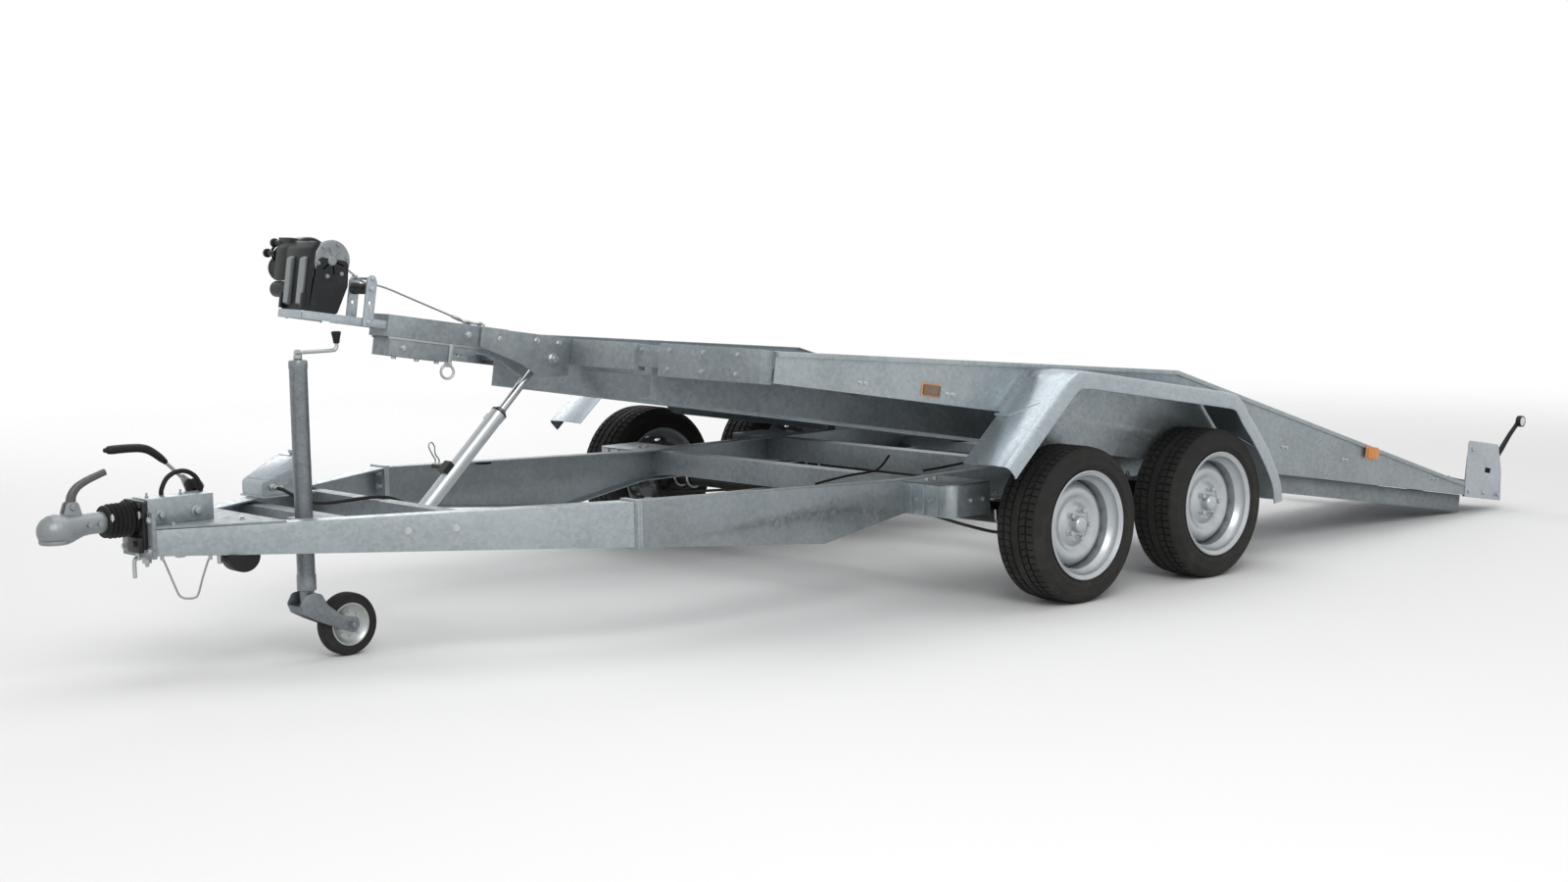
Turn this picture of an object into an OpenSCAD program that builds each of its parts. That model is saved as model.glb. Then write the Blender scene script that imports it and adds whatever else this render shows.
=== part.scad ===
// Tilt-bed car trailer: a V-shaped drawbar chassis on two braked axles, with an
// overrun coupling and a jockey wheel, and a tilting bed with two runways, raised
// by a hydraulic ram. It stands in its loading position, with the bed's tail down.
// X runs from the coupling (low) to the tail (high), Z is up, and Y = 0 is the
// middle. Inside the modules, x = 0 is the middle between the two axles.

/* [Wheels and axles] */
// Outside diameter of a tyre
tyre_d = 525; // [480:1:600]
// Width of a tyre
tyre_w = 195; // [165:1:220]
// Diameter over the rim's flange
rim_d = 366; // [340:1:380]
// Distance between the two axles
axle_gap = 706; // [640:2:760]
// Distance between the middles of a left and a right tyre
track_w = 2200; // [2180:2:2300]
// Diameter of the axle tube
axle_d = 60; // [50:1:70]
// Width of a spring leaf
leaf_w = 60; // [50:1:64]
// Thickness of a spring leaf
leaf_t = 9; // [7:0.5:11]
// Number of leaves in a spring
leaf_count = 3; // [1:1:4]
// Distance between the eyes of one spring
spring_len = 600; // [560:2:630]
// Distance from the middle to a spring
spring_y = 850; // [835:1:860]

/* [Chassis] */
// Distance from the axles' middle to the drawbar's head plate
head_dist = 3140; // [3000:5:3300]
// Distance from the axles' middle to the bolted joints of the drawbar
joint_dist = 1880; // [1800:5:1960]
// Distance from the axles' middle to the rear end of the side members
tail_dist = 760; // [740:5:800]
// Distance from the middle to the outer face of a side member
side_y = 710; // [680:2:730]
// Distance from the middle to the outer face of an arm at the head plate
head_y = 84; // [75:1:110]
// Thickness of the pressed channels
chassis_t = 5; // [4:0.5:6]
// Width of a channel's flanges
flange_w = 60; // [45:1:70]
// Height of an arm at the head plate
arm_front_h = 73; // [65:1:90]
// Height of an arm at the joint
arm_rear_h = 142; // [120:1:150]
// Height of the joint's top above the ground
joint_top = 457; // [440:1:470]
// Height of a side member where it is deepest
side_deep_h = 183; // [160:1:200]
// Height of a side member beside the axles
side_rear_h = 112; // [105:1:116]
// Height of the side members' top beside the axles
side_top = 410; // [400:1:412]

/* [Bed] */
// Angle of the bed in the loading position
tilt_angle = 9.2; // [8:0.1:9.4]
// Distance from the axles' middle back to the bed's pivot
pivot_x = 350; // [330:2:370]
// Height of the bed's pivot
pivot_z = 500; // [490:1:505]
// Length of the bed in front of the axles' middle
bed_front = 1650; // [1600:5:1700]
// Length of the bed behind the axles' middle
bed_rear = 2590; // [2560:5:2640]
// Width over the bed's side rails
bed_w = 1990; // [1960:2:2000]
// Height of the rails' lower edge in front, bed level
rail_low_front = 498; // [490:1:510]
// Height of the rails' lower edge behind, bed level
rail_low_rear = 395; // [388:1:405]
// Height of the rails' top at the front end, bed level
rail_top_front = 595; // [585:1:610]
// Height of the rails' top at the peak over the wheels, bed level
rail_top_peak = 722; // [700:1:735]
// Height of the rails' top at the tail, bed level
rail_top_tail = 440; // [436:1:450]
// Thickness of a rail's plate
rail_t = 4; // [3:0.5:5]
// Width of a rail's top lip
rail_lip = 26; // [18:1:34]
// Width of a runway
runway_w = 520; // [480:5:540]
// Height of the runways' surface in front, bed level
deck_z = 560; // [552:1:566]
// Distance from the middle to an inner beam
beam_y = 400; // [380:2:420]
// Height of the inner beams' lower edge, bed level
beam_low = 416; // [416:1:424]

/* [Nose and winch] */
// Length of the nose beam in front of the bed
nose_len = 705; // [660:5:720]
// Width of the nose beam
nose_w = 100; // [90:1:104]
// Height of the nose beam
nose_h = 68; // [62:1:80]
// Diameter of the winch's end cover
winch_d = 126; // [116:1:132]
// Sideways place of the winch
winch_y = 100; // [96:1:110]
// Diameter of the winch rope
rope_d = 6; // [5:0.5:8]

/* [Ram] */
// Outside diameter of the ram's cylinder
ram_d = 56; // [48:1:62]
// Diameter of the ram's rod
rod_d = 28; // [22:1:32]

/* [Jockey wheel] */
// Outside diameter of the jockey wheel's tube
jockey_d = 54; // [48:1:60]
// Diameter of the jockey wheel
jockey_wheel_d = 192; // [180:1:220]
// Sideways place of the jockey wheel's tube
jockey_y = -92; // [-100:1:-90]

/* [Hidden] */
$fn = 48;
e = 0.01;
seat_gap = 0.2;
run_gap = 0.05;
head_x = -head_dist;
head_t = 12;
lamp_plate_h = 232;
head_ball_x = -head_dist - 265;
head_d = 96;
lens_x = bed_rear + 116;
lens_z = 732;
lens_r = 24;
// Places the origin under the middle of the trailer's length
tail_reach = pivot_x + (lens_x - pivot_x) * cos(tilt_angle) + (lens_z - pivot_z) * sin(tilt_angle) + lens_r;
mid_shift = (-head_ball_x + head_d / 2 - tail_reach) / 2;
wheel_z = tyre_d / 2;
arm_angle = atan((side_y - head_y) / (head_dist - joint_dist));
arm_len = (head_dist - joint_dist) / cos(arm_angle);
drum_x = [-axle_gap / 2, axle_gap / 2];

module car() {
    translate([mid_shift, 0, 0]) children();
}

// The bed is drawn level and then turned about its pivot
module on_bed() {
    car() translate([pivot_x, 0, pivot_z]) rotate([0, tilt_angle, 0])
        translate([-pivot_x, 0, -pivot_z]) children();
}

// A plate in the XZ plane, from y0 to y1
module slab(y0, y1) {
    translate([0, y1, 0]) rotate([90, 0, 0]) linear_extrude(y1 - y0) children();
}

module box(x0, x1, y0, y1, z0, z1) {
    translate([x0, y0, z0]) cube([x1 - x0, y1 - y0, z1 - z0]);
}

module rod_y(x, z, y0, y1, d) {
    translate([x, y1, z]) rotate([90, 0, 0]) cylinder(d = d, h = y1 - y0);
}

module rod_x(x0, x1, y, z, d) {
    translate([x0, y, z]) rotate([0, 90, 0]) cylinder(d = d, h = x1 - x0);
}

module both_sides() {
    for (s = [-1, 1]) scale([1, s, 1]) children();
}

module side(s) {
    if (s > 0) children();
    else mirror([0, 1, 0]) children();
}

// A square tube across the trailer, with a wall t thick
module tube_y(x0, x1, reach, z0, z1, t) {
    difference() {
        box(x0, x1, -reach, reach, z0, z1);
        box(x0 + t, x1 - t, -reach - 1, reach + 1, z0 + t, z1 - t);
    }
}

function rise(points, dz) = [for (p = points) [p[0], p[1] + dz]];
function back(points) = [for (i = [len(points) - 1:-1:0]) points[i]];

// A channel with its web at y_web and its flanges reaching in to y_lip
module channel(top, low, y_web, y_lip, t) {
    ends = len(top) - 1;
    inner_top = concat([[top[0][0] - 1, top[0][1] - t]], rise(top, -t),
                       [[top[ends][0] + 1, top[ends][1] - t]]);
    inner_low = concat([[low[0][0] - 1, low[0][1] + t]], rise(low, t),
                       [[low[len(low) - 1][0] + 1, low[len(low) - 1][1] + t]]);
    difference() {
        slab(y_lip, y_web) polygon(concat(top, back(low)));
        slab(y_lip - 1, y_web - t) polygon(concat(inner_top, back(inner_low)));
    }
}

// Chassis

arm_front_top = joint_top - 8;
module drawbar_arm() {
    intersection() {
        translate([-head_dist, head_y, 0]) rotate([0, 0, arm_angle])
            channel([[-60, arm_front_top], [arm_len + 60, joint_top]],
                    [[-60, arm_front_top - arm_front_h], [arm_len + 60, joint_top - arm_rear_h]],
                    0, -flange_w, chassis_t);
        box(-head_dist + seat_gap, -joint_dist - 10 + e, 0, side_y + 60, 0, 800);
    }
    // Bolted flange at the joint
    box(-joint_dist - 10, -joint_dist, side_y - flange_w - 12, side_y + 14,
        joint_top - arm_rear_h - 4, joint_top + 6);
}

module drawbar_left() {
    color("silver") car() side(-1) drawbar_arm();
}

module drawbar_right() {
    color("silver") car() side(1) drawbar_arm();
}

side_top_line = [[-joint_dist + 10, joint_top], [-1100, 421], [-740, side_top], [tail_dist, side_top]];
side_low_line = [[-joint_dist + 10, joint_top - arm_rear_h], [-1100, 421 - side_deep_h],
                 [-740, side_top - side_rear_h], [tail_dist, side_top - side_rear_h]];
module side_member() {
    channel(side_top_line, side_low_line, side_y, side_y - flange_w, chassis_t);
    box(-joint_dist + seat_gap, -joint_dist + 10 + e, side_y - flange_w - 12, side_y + 14,
        joint_top - arm_rear_h - 4, joint_top + 6);
}

module side_member_left() {
    color("silver") car() side(-1) side_member();
}

module side_member_right() {
    color("silver") car() side(1) side_member();
}

module head_plate() {
    color("silver") car() difference() {
        union() {
            box(head_x - head_t, head_x, -head_y - 6, head_y + 6, 366, 500);
            // Top gusset over the front of the two arms
            translate([0, 0, gusset_z])
                linear_extrude(6) polygon([
                    [head_x - e, -head_y], [head_x + 330, -head_y - 330 * tan(arm_angle)],
                    [head_x + 330, head_y + 330 * tan(arm_angle)], [head_x - e, head_y]]);
        }
        rod_x(head_x - head_t - 1, shaft_stop, 0, coupling_z, shaft_d + 0.6);
    }
}

function arm_top(x) = arm_front_top
    + ((x + head_dist) / cos(arm_angle) + 60) * (joint_top - arm_front_top) / (arm_len + 120);
function arm_low(x) = arm_top(x) - arm_front_h
    - ((x + head_dist) / cos(arm_angle) + 60) * (arm_rear_h - arm_front_h) / (arm_len + 120);
gusset_z = arm_top(-head_dist + 330) + seat_gap;
gusset_top = gusset_z + 6;
function arm_in(x) = head_y + (x + head_dist) * tan(arm_angle) - (chassis_t + seat_gap) / cos(arm_angle);

// A cross tube between the webs of the two arms
module arm_tube(x0, x1, z0, z1) {
    difference() {
        translate([0, 0, z0]) linear_extrude(z1 - z0)
            polygon([[x0, -arm_in(x0)], [x1, -arm_in(x1)], [x1, arm_in(x1)], [x0, arm_in(x0)]]);
        box(x0 + 5, x1 - 5, -side_y, side_y, z0 + 5, z1 - 5);
    }
}

jockey_x = head_x + 482;
ram_x = -2230;
ram_z = 340;
module crossmembers() {
    color("silver") car() {
        arm_tube(jockey_x + 36, jockey_x + 96, 376, 436);
        arm_tube(ram_x - 90, ram_x - 40, 350, 440);
        // Ears for the foot of the ram
        for (s = [-1, 1]) translate([0, s * 34, 0]) hull() {
            rod_y(ram_x, ram_z, -5, 5, 60);
            box(ram_x - 42, ram_x - 40, -5, 5, 352, 438);
        }
        rod_y(ram_x, ram_z, -46, 46, 24 - 2 * run_gap);
        reach = side_y - chassis_t - seat_gap;
        for (x = [-660, -60]) tube_y(x, x + 60, reach, side_top - 90, side_top - chassis_t - seat_gap, 5);
        tube_y(tail_dist - 70, tail_dist - 10, reach, side_top - side_rear_h + chassis_t + seat_gap, 340, 5);
    }
}

lug_y = 680;
module pivot_brackets() {
    color("silver") car() both_sides() {
        for (y = [lug_y - 30, lug_y + 18])
            slab(y, y + 10) polygon([[pivot_x - 90, side_top + seat_gap], [pivot_x - 24, pivot_z + 26],
                [pivot_x + 24, pivot_z + 26], [pivot_x + 90, side_top + seat_gap]]);
        rod_y(pivot_x, pivot_z, lug_y - 34, lug_y + 32, 30 - 2 * run_gap);
    }
}

spring_rise = 46;
spring_low = wheel_z + axle_d / 2 + seat_gap + (leaf_count - 1) * (leaf_t + seat_gap);
spring_eye_z = spring_low + spring_rise + leaf_t / 2;
spring_pin_d = 16;
hanger_top = 386;
box_low = 300;
module spring_hangers() {
    color("silver") car() both_sides() {
        for (x = [-1, 0, 1] * (axle_gap + spring_len) / 2) {
            reach = x == 0 ? (axle_gap - spring_len) / 2 + 26 : 34;
            box(x - reach, x + reach, side_y + seat_gap, spring_y + leaf_w / 2 + 12, hanger_top, side_top);
            for (y = [-leaf_w / 2 - 10, leaf_w / 2 + 4])
                box(x - reach, x + reach, spring_y + y, spring_y + y + 6, spring_eye_z - 26, hanger_top + e);
        }
        for (x = drum_x) for (s = [-1, 1])
            rod_y(x + s * spring_len / 2, spring_eye_z, spring_y - leaf_w / 2 - 14, spring_y + leaf_w / 2 + 14,
                spring_pin_d - 2 * run_gap);
        // Box around the front hanger
        front = -(axle_gap + spring_len) / 2 - 80;
        outer = spring_y + 80;
        box(front, front + 6, side_y + seat_gap, outer, box_low, side_top);
        box(front, front + 188, outer - 6, outer, box_low, side_top);
        box(front, front + 188, side_y + seat_gap, outer, side_top - 8, side_top);
    }
}

spring_r = (pow(spring_len / 2, 2) + pow(spring_rise, 2)) / (2 * spring_rise);
module leaf(x, half, low) {
    slab(spring_y - leaf_w / 2, spring_y + leaf_w / 2) intersection() {
        translate([x, low + spring_r]) difference() {
            circle(r = spring_r, $fn = 360);
            circle(r = spring_r - leaf_t, $fn = 360);
        }
        translate([x - half, wheel_z]) square([2 * half, 160]);
    }
}

module leaf_springs() {
    color("dimgray") car() both_sides() for (x = drum_x) {
        difference() {
            union() {
                leaf(x, spring_len / 2, spring_low);
                for (s = [-1, 1]) rod_y(x + s * spring_len / 2, spring_eye_z,
                    spring_y - leaf_w / 2 - 3.7, spring_y + leaf_w / 2 + 3.7, spring_pin_d + 16);
            }
            for (s = [-1, 1]) rod_y(x + s * spring_len / 2, spring_eye_z,
                spring_y - leaf_w, spring_y + leaf_w, spring_pin_d);
        }
        for (i = [1:leaf_count - 1])
            leaf(x, spring_len / 2 - i * 70, spring_low - i * (leaf_t + seat_gap));
    }
}

wheel_in = (track_w - tyre_w) / 2;
module axle(x) {
    rod_y(x, wheel_z, -wheel_in + 90, wheel_in - 90, axle_d);
    both_sides() {
        // Brake back plate and stub
        rod_y(x, wheel_z, wheel_in - 92, wheel_in - 86, 226);
        rod_y(x, wheel_z, wheel_in - 90, track_w / 2 + 10, 40);
    }
}

module front_axle() {
    color("dimgray") car() axle(-axle_gap / 2);
}

module rear_axle() {
    color("dimgray") car() axle(axle_gap / 2);
}

// Coupling and hand brake

coupling_z = 478;
shaft_d = 50;
shaft_stop = head_x + 130;
flange_x = head_x - head_t - 14;
housing_top = 534;
module coupling_housing() {
    color("dimgray") car() {
        difference() {
            union() {
                // Flange with its foot in front of the head plate
                box(flange_x, head_x - head_t - seat_gap, -62, 62, 392, 548);
                box(flange_x - 30, flange_x + e, -36, 36, 382, 424);
                box(head_x + seat_gap, head_x + 210, -45, 45, gusset_top + seat_gap, housing_top);
            }
            rod_x(flange_x - 1, shaft_stop, 0, coupling_z, shaft_d);
        }
        // Bracket and pin of the hand brake
        box(brake_x - 25, brake_x + 25, 50, 58, gusset_top + seat_gap, brake_z + 26);
        box(brake_x - 25, brake_x + 25, 40, 58, gusset_top + seat_gap, gusset_top + 8);
        rod_y(brake_x, brake_z, 50, 78, 14 - 2 * run_gap);
    }
}

brake_x = head_x + 203;
brake_z = 534;

collar_d = 62;
fold = 20;
bellows_d = 100;
bellows_x = flange_x - seat_gap - 5 * fold;
module bellows() {
    color("black") car() difference() {
        for (i = [0:4]) {
            translate([bellows_x + i * fold, 0, coupling_z]) rotate([0, 90, 0])
                cylinder(d1 = bellows_d - 14, d2 = bellows_d, h = fold / 2 + e);
            translate([bellows_x + (i + 0.5) * fold, 0, coupling_z]) rotate([0, 90, 0])
                cylinder(d1 = bellows_d, d2 = bellows_d - 14, h = fold / 2 + (i < 4 ? e : 0));
        }
        rod_x(bellows_x + 6, head_x, 0, coupling_z, 76);
        rod_x(bellows_x - 1, bellows_x + 7, 0, coupling_z, collar_d + 0.6);
    }
}

module coupling_head() {
    color("gray") car() {
        rod_x(head_x - 160, head_x + 50, 0, coupling_z, shaft_d - 2 * run_gap);
        difference() {
            union() {
                rod_x(head_x - 200, head_x - 110, 0, coupling_z, collar_d);
                hull() {
                    translate([head_ball_x, 0, 466]) sphere(d = head_d, $fn = 32);
                    translate([head_x - 190, 0, coupling_z]) sphere(d = collar_d, $fn = 32);
                }
            }
            translate([head_ball_x, 0, 400]) cylinder(d = 50.8, h = 68);
            translate([head_ball_x - 95, -100, 380]) cube([160, 200, 52]);
        }
        both_sides() slab(10, 15) polygon([[lever_x - 27, lever_z - 30], [lever_x + 27, lever_z - 30],
            [lever_x + 13, lever_z + 13], [lever_x - 13, lever_z + 13]]);
        rod_y(lever_x, lever_z, -17, 17, 12 - 2 * run_gap);
    }
}

lever_x = head_x - 212;
lever_z = 531;

module coupling_lever() {
    color("dimgray") car() translate([lever_x, 0, lever_z]) difference() {
        union() {
            rod_y(0, 0, -9, 9, 24);
            slab(-9, 9) polygon([[-12, 0], [12, 0], [13, 26], [30, 52], [62, 66], [112, 78],
                [106, 101], [54, 88], [8, 70], [-10, 40]]);
        }
        rod_y(0, 0, -10, 10, 12);
    }
}

module handbrake_lever() {
    color("black") car() translate([brake_x, 0, brake_z]) difference() {
        slab(59, 73) polygon([[-13, -14], [13, -14], [13, 12], [-77, 104], [-129, 143], [-153, 153],
            [-266, 153], [-270, 128], [-156, 127], [-100, 92]]);
        rod_y(0, 0, 58, 74, 14);
    }
}

module brake_cable() {
    color("black") car() translate([brake_x - 60, 20, housing_top + seat_gap]) rotate([90, 0, 0])
        rotate_extrude(angle = 180) translate([64, 0]) circle(d = 14);
}

wire_low = [[54, 270], [71, 244], [102, 245], [120, 300]];
function under_arm(dx, z) = [head_x + dx, 20 - head_y - dx * tan(arm_angle), z];
function arm_foot(dx) = under_arm(dx, arm_low(head_x + dx) - seat_gap - rope_d / 2);
module safety_wire() {
    line = concat([arm_foot(22)], [for (p = wire_low) under_arm(p[0], p[1])], [arm_foot(142)]);
    color("silver") car() for (i = [0:len(line) - 2]) rope_run(line[i], line[i + 1]);
}

pump_x = jockey_x + 79;
pump_len = 180;
pump_top = 571;
module pump_box() {
    color("lightsteelblue") car() slab(275, 395) polygon([[pump_x, arm_top(pump_x) + seat_gap],
        [pump_x + pump_len, arm_top(pump_x + pump_len) + seat_gap], [pump_x + pump_len, pump_top],
        [pump_x + 125, pump_top], [pump_x + 10, pump_top - 63], [pump_x, pump_top - 73]]);
}

// Jockey wheel

jockey_low = 215;
leg_d = jockey_d - 10;
module jockey_tube() {
    color("silver") car() {
        difference() {
            translate([jockey_x, jockey_y, jockey_low]) cylinder(d = jockey_d, h = 695);
            translate([jockey_x, jockey_y, jockey_low - 1]) cylinder(d = leg_d + 2 * run_gap, h = 686);
            translate([jockey_x, jockey_y, jockey_low]) cylinder(d = 11 + 2 * run_gap, h = 800);
        }
        // Clamp
        difference() {
            box(jockey_x - 40, jockey_x + 36 - seat_gap, jockey_y - 42, jockey_y + 42, 376, 436);
            translate([jockey_x, jockey_y, 370]) cylinder(d = jockey_d + 2 * seat_gap, h = 80);
        }
    }
}

leg_low = 175;
module jockey_leg() {
    color("dimgray") car() translate([jockey_x, jockey_y, 0]) difference() {
        translate([0, 0, leg_low]) cylinder(d = leg_d, h = 700);
        translate([0, 0, leg_low + 20]) cylinder(d = leg_d - 10, h = 690);
    }
}

fork_y = 34;
trail = 135;
axle_h = jockey_wheel_d / 2;
module jockey_fork() {
    color("gray") car() translate([jockey_x, jockey_y, 0]) {
        translate([0, 0, 160]) cylinder(d = 56, h = leg_low - 160.3);
        box(-30, 40, -fork_y - 5, fork_y + 5, 152, 160 + e);
        for (y = [-fork_y - 5, fork_y]) slab(y, y + 5)
            polygon([[-40, 160 + e], [40, 160 + e], [trail + 16, axle_h + 16],
                [trail + 16, axle_h - 14], [trail - 16, axle_h - 16], [-30, 130]]);
        rod_y(trail, axle_h, -fork_y - 8, fork_y + 8, 16);
    }
}

module jockey_wheel() {
    color("black") car() translate([jockey_x + trail, jockey_y, axle_h]) difference() {
        rotate([90, 0, 0]) rotate_extrude() polygon([[8 + run_gap, -27], [20, -27], [20, -12], [62, -10],
            [66, -24], [84, -25], [axle_h, -14], [axle_h, 14], [84, 25], [66, 24], [62, 10], [20, 12],
            [20, 27], [8 + run_gap, 27]]);
    }
}

module jockey_crank() {
    color("gray") car() translate([jockey_x, jockey_y, 0]) {
        translate([0, 0, 620]) cylinder(d = 11, h = 310);
        translate([0, 0, 910.3]) cylinder(d = 26, h = 14);
        box(-13, 144, -9, 9, 924, 932);
        translate([135, 0, 930]) cylinder(d = 12, h = 20);
        translate([135, 0, 948]) cylinder(d = 26, h = 37);
    }
}

// Road wheels

module tyre() {
    h = tyre_w / 2;
    r = tyre_d / 2;
    b = rim_d / 2;
    rotate([90, 0, 0]) rotate_extrude($fn = 96) polygon(concat(
        [[b - 8, -h + 30], [b - 2, -h + 12], [b + 14, -h]],
        [[r - 38, -h], [r - 10, -h + 10], [r, -h + 30], [r, h - 30], [r - 10, h - 10], [r - 38, h]],
        [[b + 14, h], [b - 2, h - 12], [b - 8, h - 30]]));
}

// The wheel's outer face looks towards +Y
module rim() {
    b = rim_d / 2 - 8 - seat_gap;
    difference() {
        rotate([-90, 0, 0]) rotate_extrude($fn = 96) polygon([
            [20 + run_gap, -70], [60, -70], [62, 10], [70, 22], [112, 26], [136, 12], [150, 10], [150, -66],
            [b - 12, -80], [b - 4, -92], [b, -92], [b, 92], [b - 5, 92], [b - 14, 80], [154, 60], [154, 20],
            [138, 17], [114, 34], [68, 32], [50, 46], [20 + run_gap, 46]]);
        for (i = [0:15]) rotate([0, i * 22.5, 0]) translate([0, 60, 128])
            rotate([90, 0, 0]) cylinder(d = 17, h = 60);
    }
}

module wheel_at(x, s) {
    car() translate([x, s * track_w / 2, wheel_z]) side(s) children();
}

module tyre_front_left() { color("black") wheel_at(-axle_gap / 2, -1) tyre(); }
module tyre_front_right() { color("black") wheel_at(-axle_gap / 2, 1) tyre(); }
module tyre_rear_left() { color("black") wheel_at(axle_gap / 2, -1) tyre(); }
module tyre_rear_right() { color("black") wheel_at(axle_gap / 2, 1) tyre(); }
module rim_front_left() { color("silver") wheel_at(-axle_gap / 2, -1) rim(); }
module rim_front_right() { color("silver") wheel_at(-axle_gap / 2, 1) rim(); }
module rim_rear_left() { color("silver") wheel_at(axle_gap / 2, -1) rim(); }
module rim_rear_right() { color("silver") wheel_at(axle_gap / 2, 1) rim(); }

// Ram

// The ram's top pin, bed level, and where the tilted bed carries it
pin_x = -1719;
pin_z = 519.5;
pin_up = [pivot_x + (pin_x - pivot_x) * cos(tilt_angle) + (pin_z - pivot_z) * sin(tilt_angle),
          pivot_z - (pin_x - pivot_x) * sin(tilt_angle) + (pin_z - pivot_z) * cos(tilt_angle)];
ram_angle = atan2(pin_up[1] - ram_z, pin_up[0] - ram_x);
ram_out = norm([pin_up[0] - ram_x, pin_up[1] - ram_z]);
ram_body = 505;
ram_eye = 44;
module on_ram() {
    car() translate([ram_x, 0, ram_z]) rotate([0, -ram_angle, 0]) children();
}

module ram_cylinder() {
    color("silver") on_ram() {
        difference() {
            union() {
                rod_x(22, ram_body, 0, 0, ram_d);
                rod_y(0, 0, -27, 27, 52);
            }
            rod_x(30, ram_body + 1, 0, 0, rod_d + 2 * run_gap);
            rod_y(0, 0, -30, 30, 24 + 2 * run_gap);
        }
        rod_x(120, ram_body - 20, ram_d / 2 + 5, 0, 14);
    }
}

module ram_rod() {
    color("lightgray") on_ram() {
        rod_x(240, ram_out - 18, 0, 0, rod_d);
        rod_y(ram_out, 0, -22, 22, ram_eye);
        rod_y(ram_out, 0, -nose_w / 2 + 0.3, nose_w / 2 - 0.3, 24);
    }
}

// Bed

kink_x = 330;
rail_y = bed_w / 2;
rail_start = -bed_front + 50 + seat_gap;
rail_top_line = [[rail_start, rail_top_front], [kink_x, rail_top_peak], [2200, rail_top_tail + 18],
                 [bed_rear - 230, rail_top_tail]];
rail_low_line = [[rail_start, rail_low_front], [-420, rail_low_front], [-300, rail_low_rear],
                 [bed_rear - 230, rail_low_rear]];
module side_rail() {
    channel(rail_top_line, rail_low_line, rail_y, rail_y - rail_lip, rail_t);
    // Turned-down outer edge of the top lip
    difference() {
        slab(rail_y - e, rail_y + 10) polygon(concat(rail_top_line, back(rise(rail_top_line, -16))));
        box(bed_rear - 295, bed_rear, rail_y - 1, rail_y + 11, rail_low_rear, rail_top_peak);
    }
    box(bed_rear - 230 - e, bed_rear, rail_y - 40, rail_y, rail_low_rear - 6, rail_low_rear + 34);
}

module side_rail_left() {
    color("silver") on_bed() side(-1) side_rail();
}

module side_rail_right() {
    color("silver") on_bed() side(1) side_rail();
}

deck_tail = bed_rear - 40;
beam_start = -bed_front + 50 + seat_gap;
beam_w = 50;
function deck_at(x) = x < kink_x ? deck_z : deck_z - (x - kink_x) * (deck_z - 448) / (deck_tail - kink_x);
module inner_beams() {
    color("silver") on_bed() both_sides()
        channel([[beam_start, deck_z - 4.2], [kink_x, deck_z - 4.2], [deck_tail, deck_at(deck_tail) - 4.2]],
            [[beam_start, beam_low], [kink_x, beam_low], [deck_tail, 398]],
            beam_y + beam_w / 2, beam_y - beam_w / 2, 5);
}

runway_in = rail_y - rail_lip - 6 - runway_w;
module runway(s) {
    side(s) {
        slab(runway_in, runway_in + runway_w) polygon([[-bed_front + 60, deck_z], [kink_x, deck_z],
            [deck_tail, deck_at(deck_tail)], [deck_tail, deck_at(deck_tail) - 4], [kink_x, deck_z - 4],
            [-bed_front + 60, deck_z - 4]]);
        for (x = [-bed_front + 160:150:deck_tail - 80])
            box(x, x + 30, runway_in + 30, runway_in + runway_w - 30, deck_at(x) - 3, deck_at(x) + 5);
    }
}

module runway_left() {
    color("silver") on_bed() runway(-1);
}

module runway_right() {
    color("silver") on_bed() runway(1);
}

module front_beam() {
    color("silver") on_bed() {
        both_sides() {
            difference() {
                box(-bed_front, -bed_front + 50, 510, rail_y - 8, rail_low_front - 6, rail_top_front);
                box(-bed_front + 4, -bed_front + 51, 514, rail_y - 12, rail_low_front - 2, rail_top_front - 4);
            }
            difference() {
                box(-bed_front + 20, -bed_front + 50, 385, 510 + e, rail_low_front + 20, rail_top_front - 8);
                box(-bed_front + 24, -bed_front + 51, 384, 511, rail_low_front + 24, rail_top_front - 12);
            }
        }
        difference() {
            box(-bed_front, -bed_front + 50, -385 - e, 385 + e, rail_low_front + 8, rail_top_front - 4);
            box(-bed_front + 4, -bed_front + 51, -381, 381, rail_low_front + 12, rail_top_front - 8);
        }
    }
}

module bed_crossmembers() {
    color("silver") on_bed() {
        for (x = [-1250, -850, -440, 620, 1000, 1400, 2050])
            both_sides() difference() {
                box(x, x + 50, beam_y + beam_w / 2 + seat_gap, rail_y - rail_t - seat_gap,
                    deck_at(x + 50) - 44, deck_at(x + 50) - 4 - seat_gap);
                box(x + 4, x + 51, beam_y, rail_y, deck_at(x + 50) - 40, deck_at(x + 50) - 8);
            }
        for (x = [-1250, -440, 620, 1400, 2200])
            tube_y(x, x + 50, beam_y - beam_w / 2 - seat_gap, deck_at(x + 50) - 54, deck_at(x + 50) - 10, 4);
        // Pivot tubes with their lugs
        both_sides() {
            box(pivot_x - 30, pivot_x + 30, beam_y + beam_w / 2 + seat_gap, rail_y - rail_t - seat_gap,
                deck_at(pivot_x + 30) - 20, deck_at(pivot_x + 30) - 4 - seat_gap);
            difference() {
                union() {
                    rod_y(pivot_x, pivot_z, lug_y - 12, lug_y + 12, 60);
                    box(pivot_x - 25, pivot_x + 25, lug_y - 12, lug_y + 12, pivot_z, deck_at(pivot_x + 30) - 20 + e);
                }
                rod_y(pivot_x, pivot_z, lug_y - 13, lug_y + 13, 30);
            }
        }
    }
}

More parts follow.
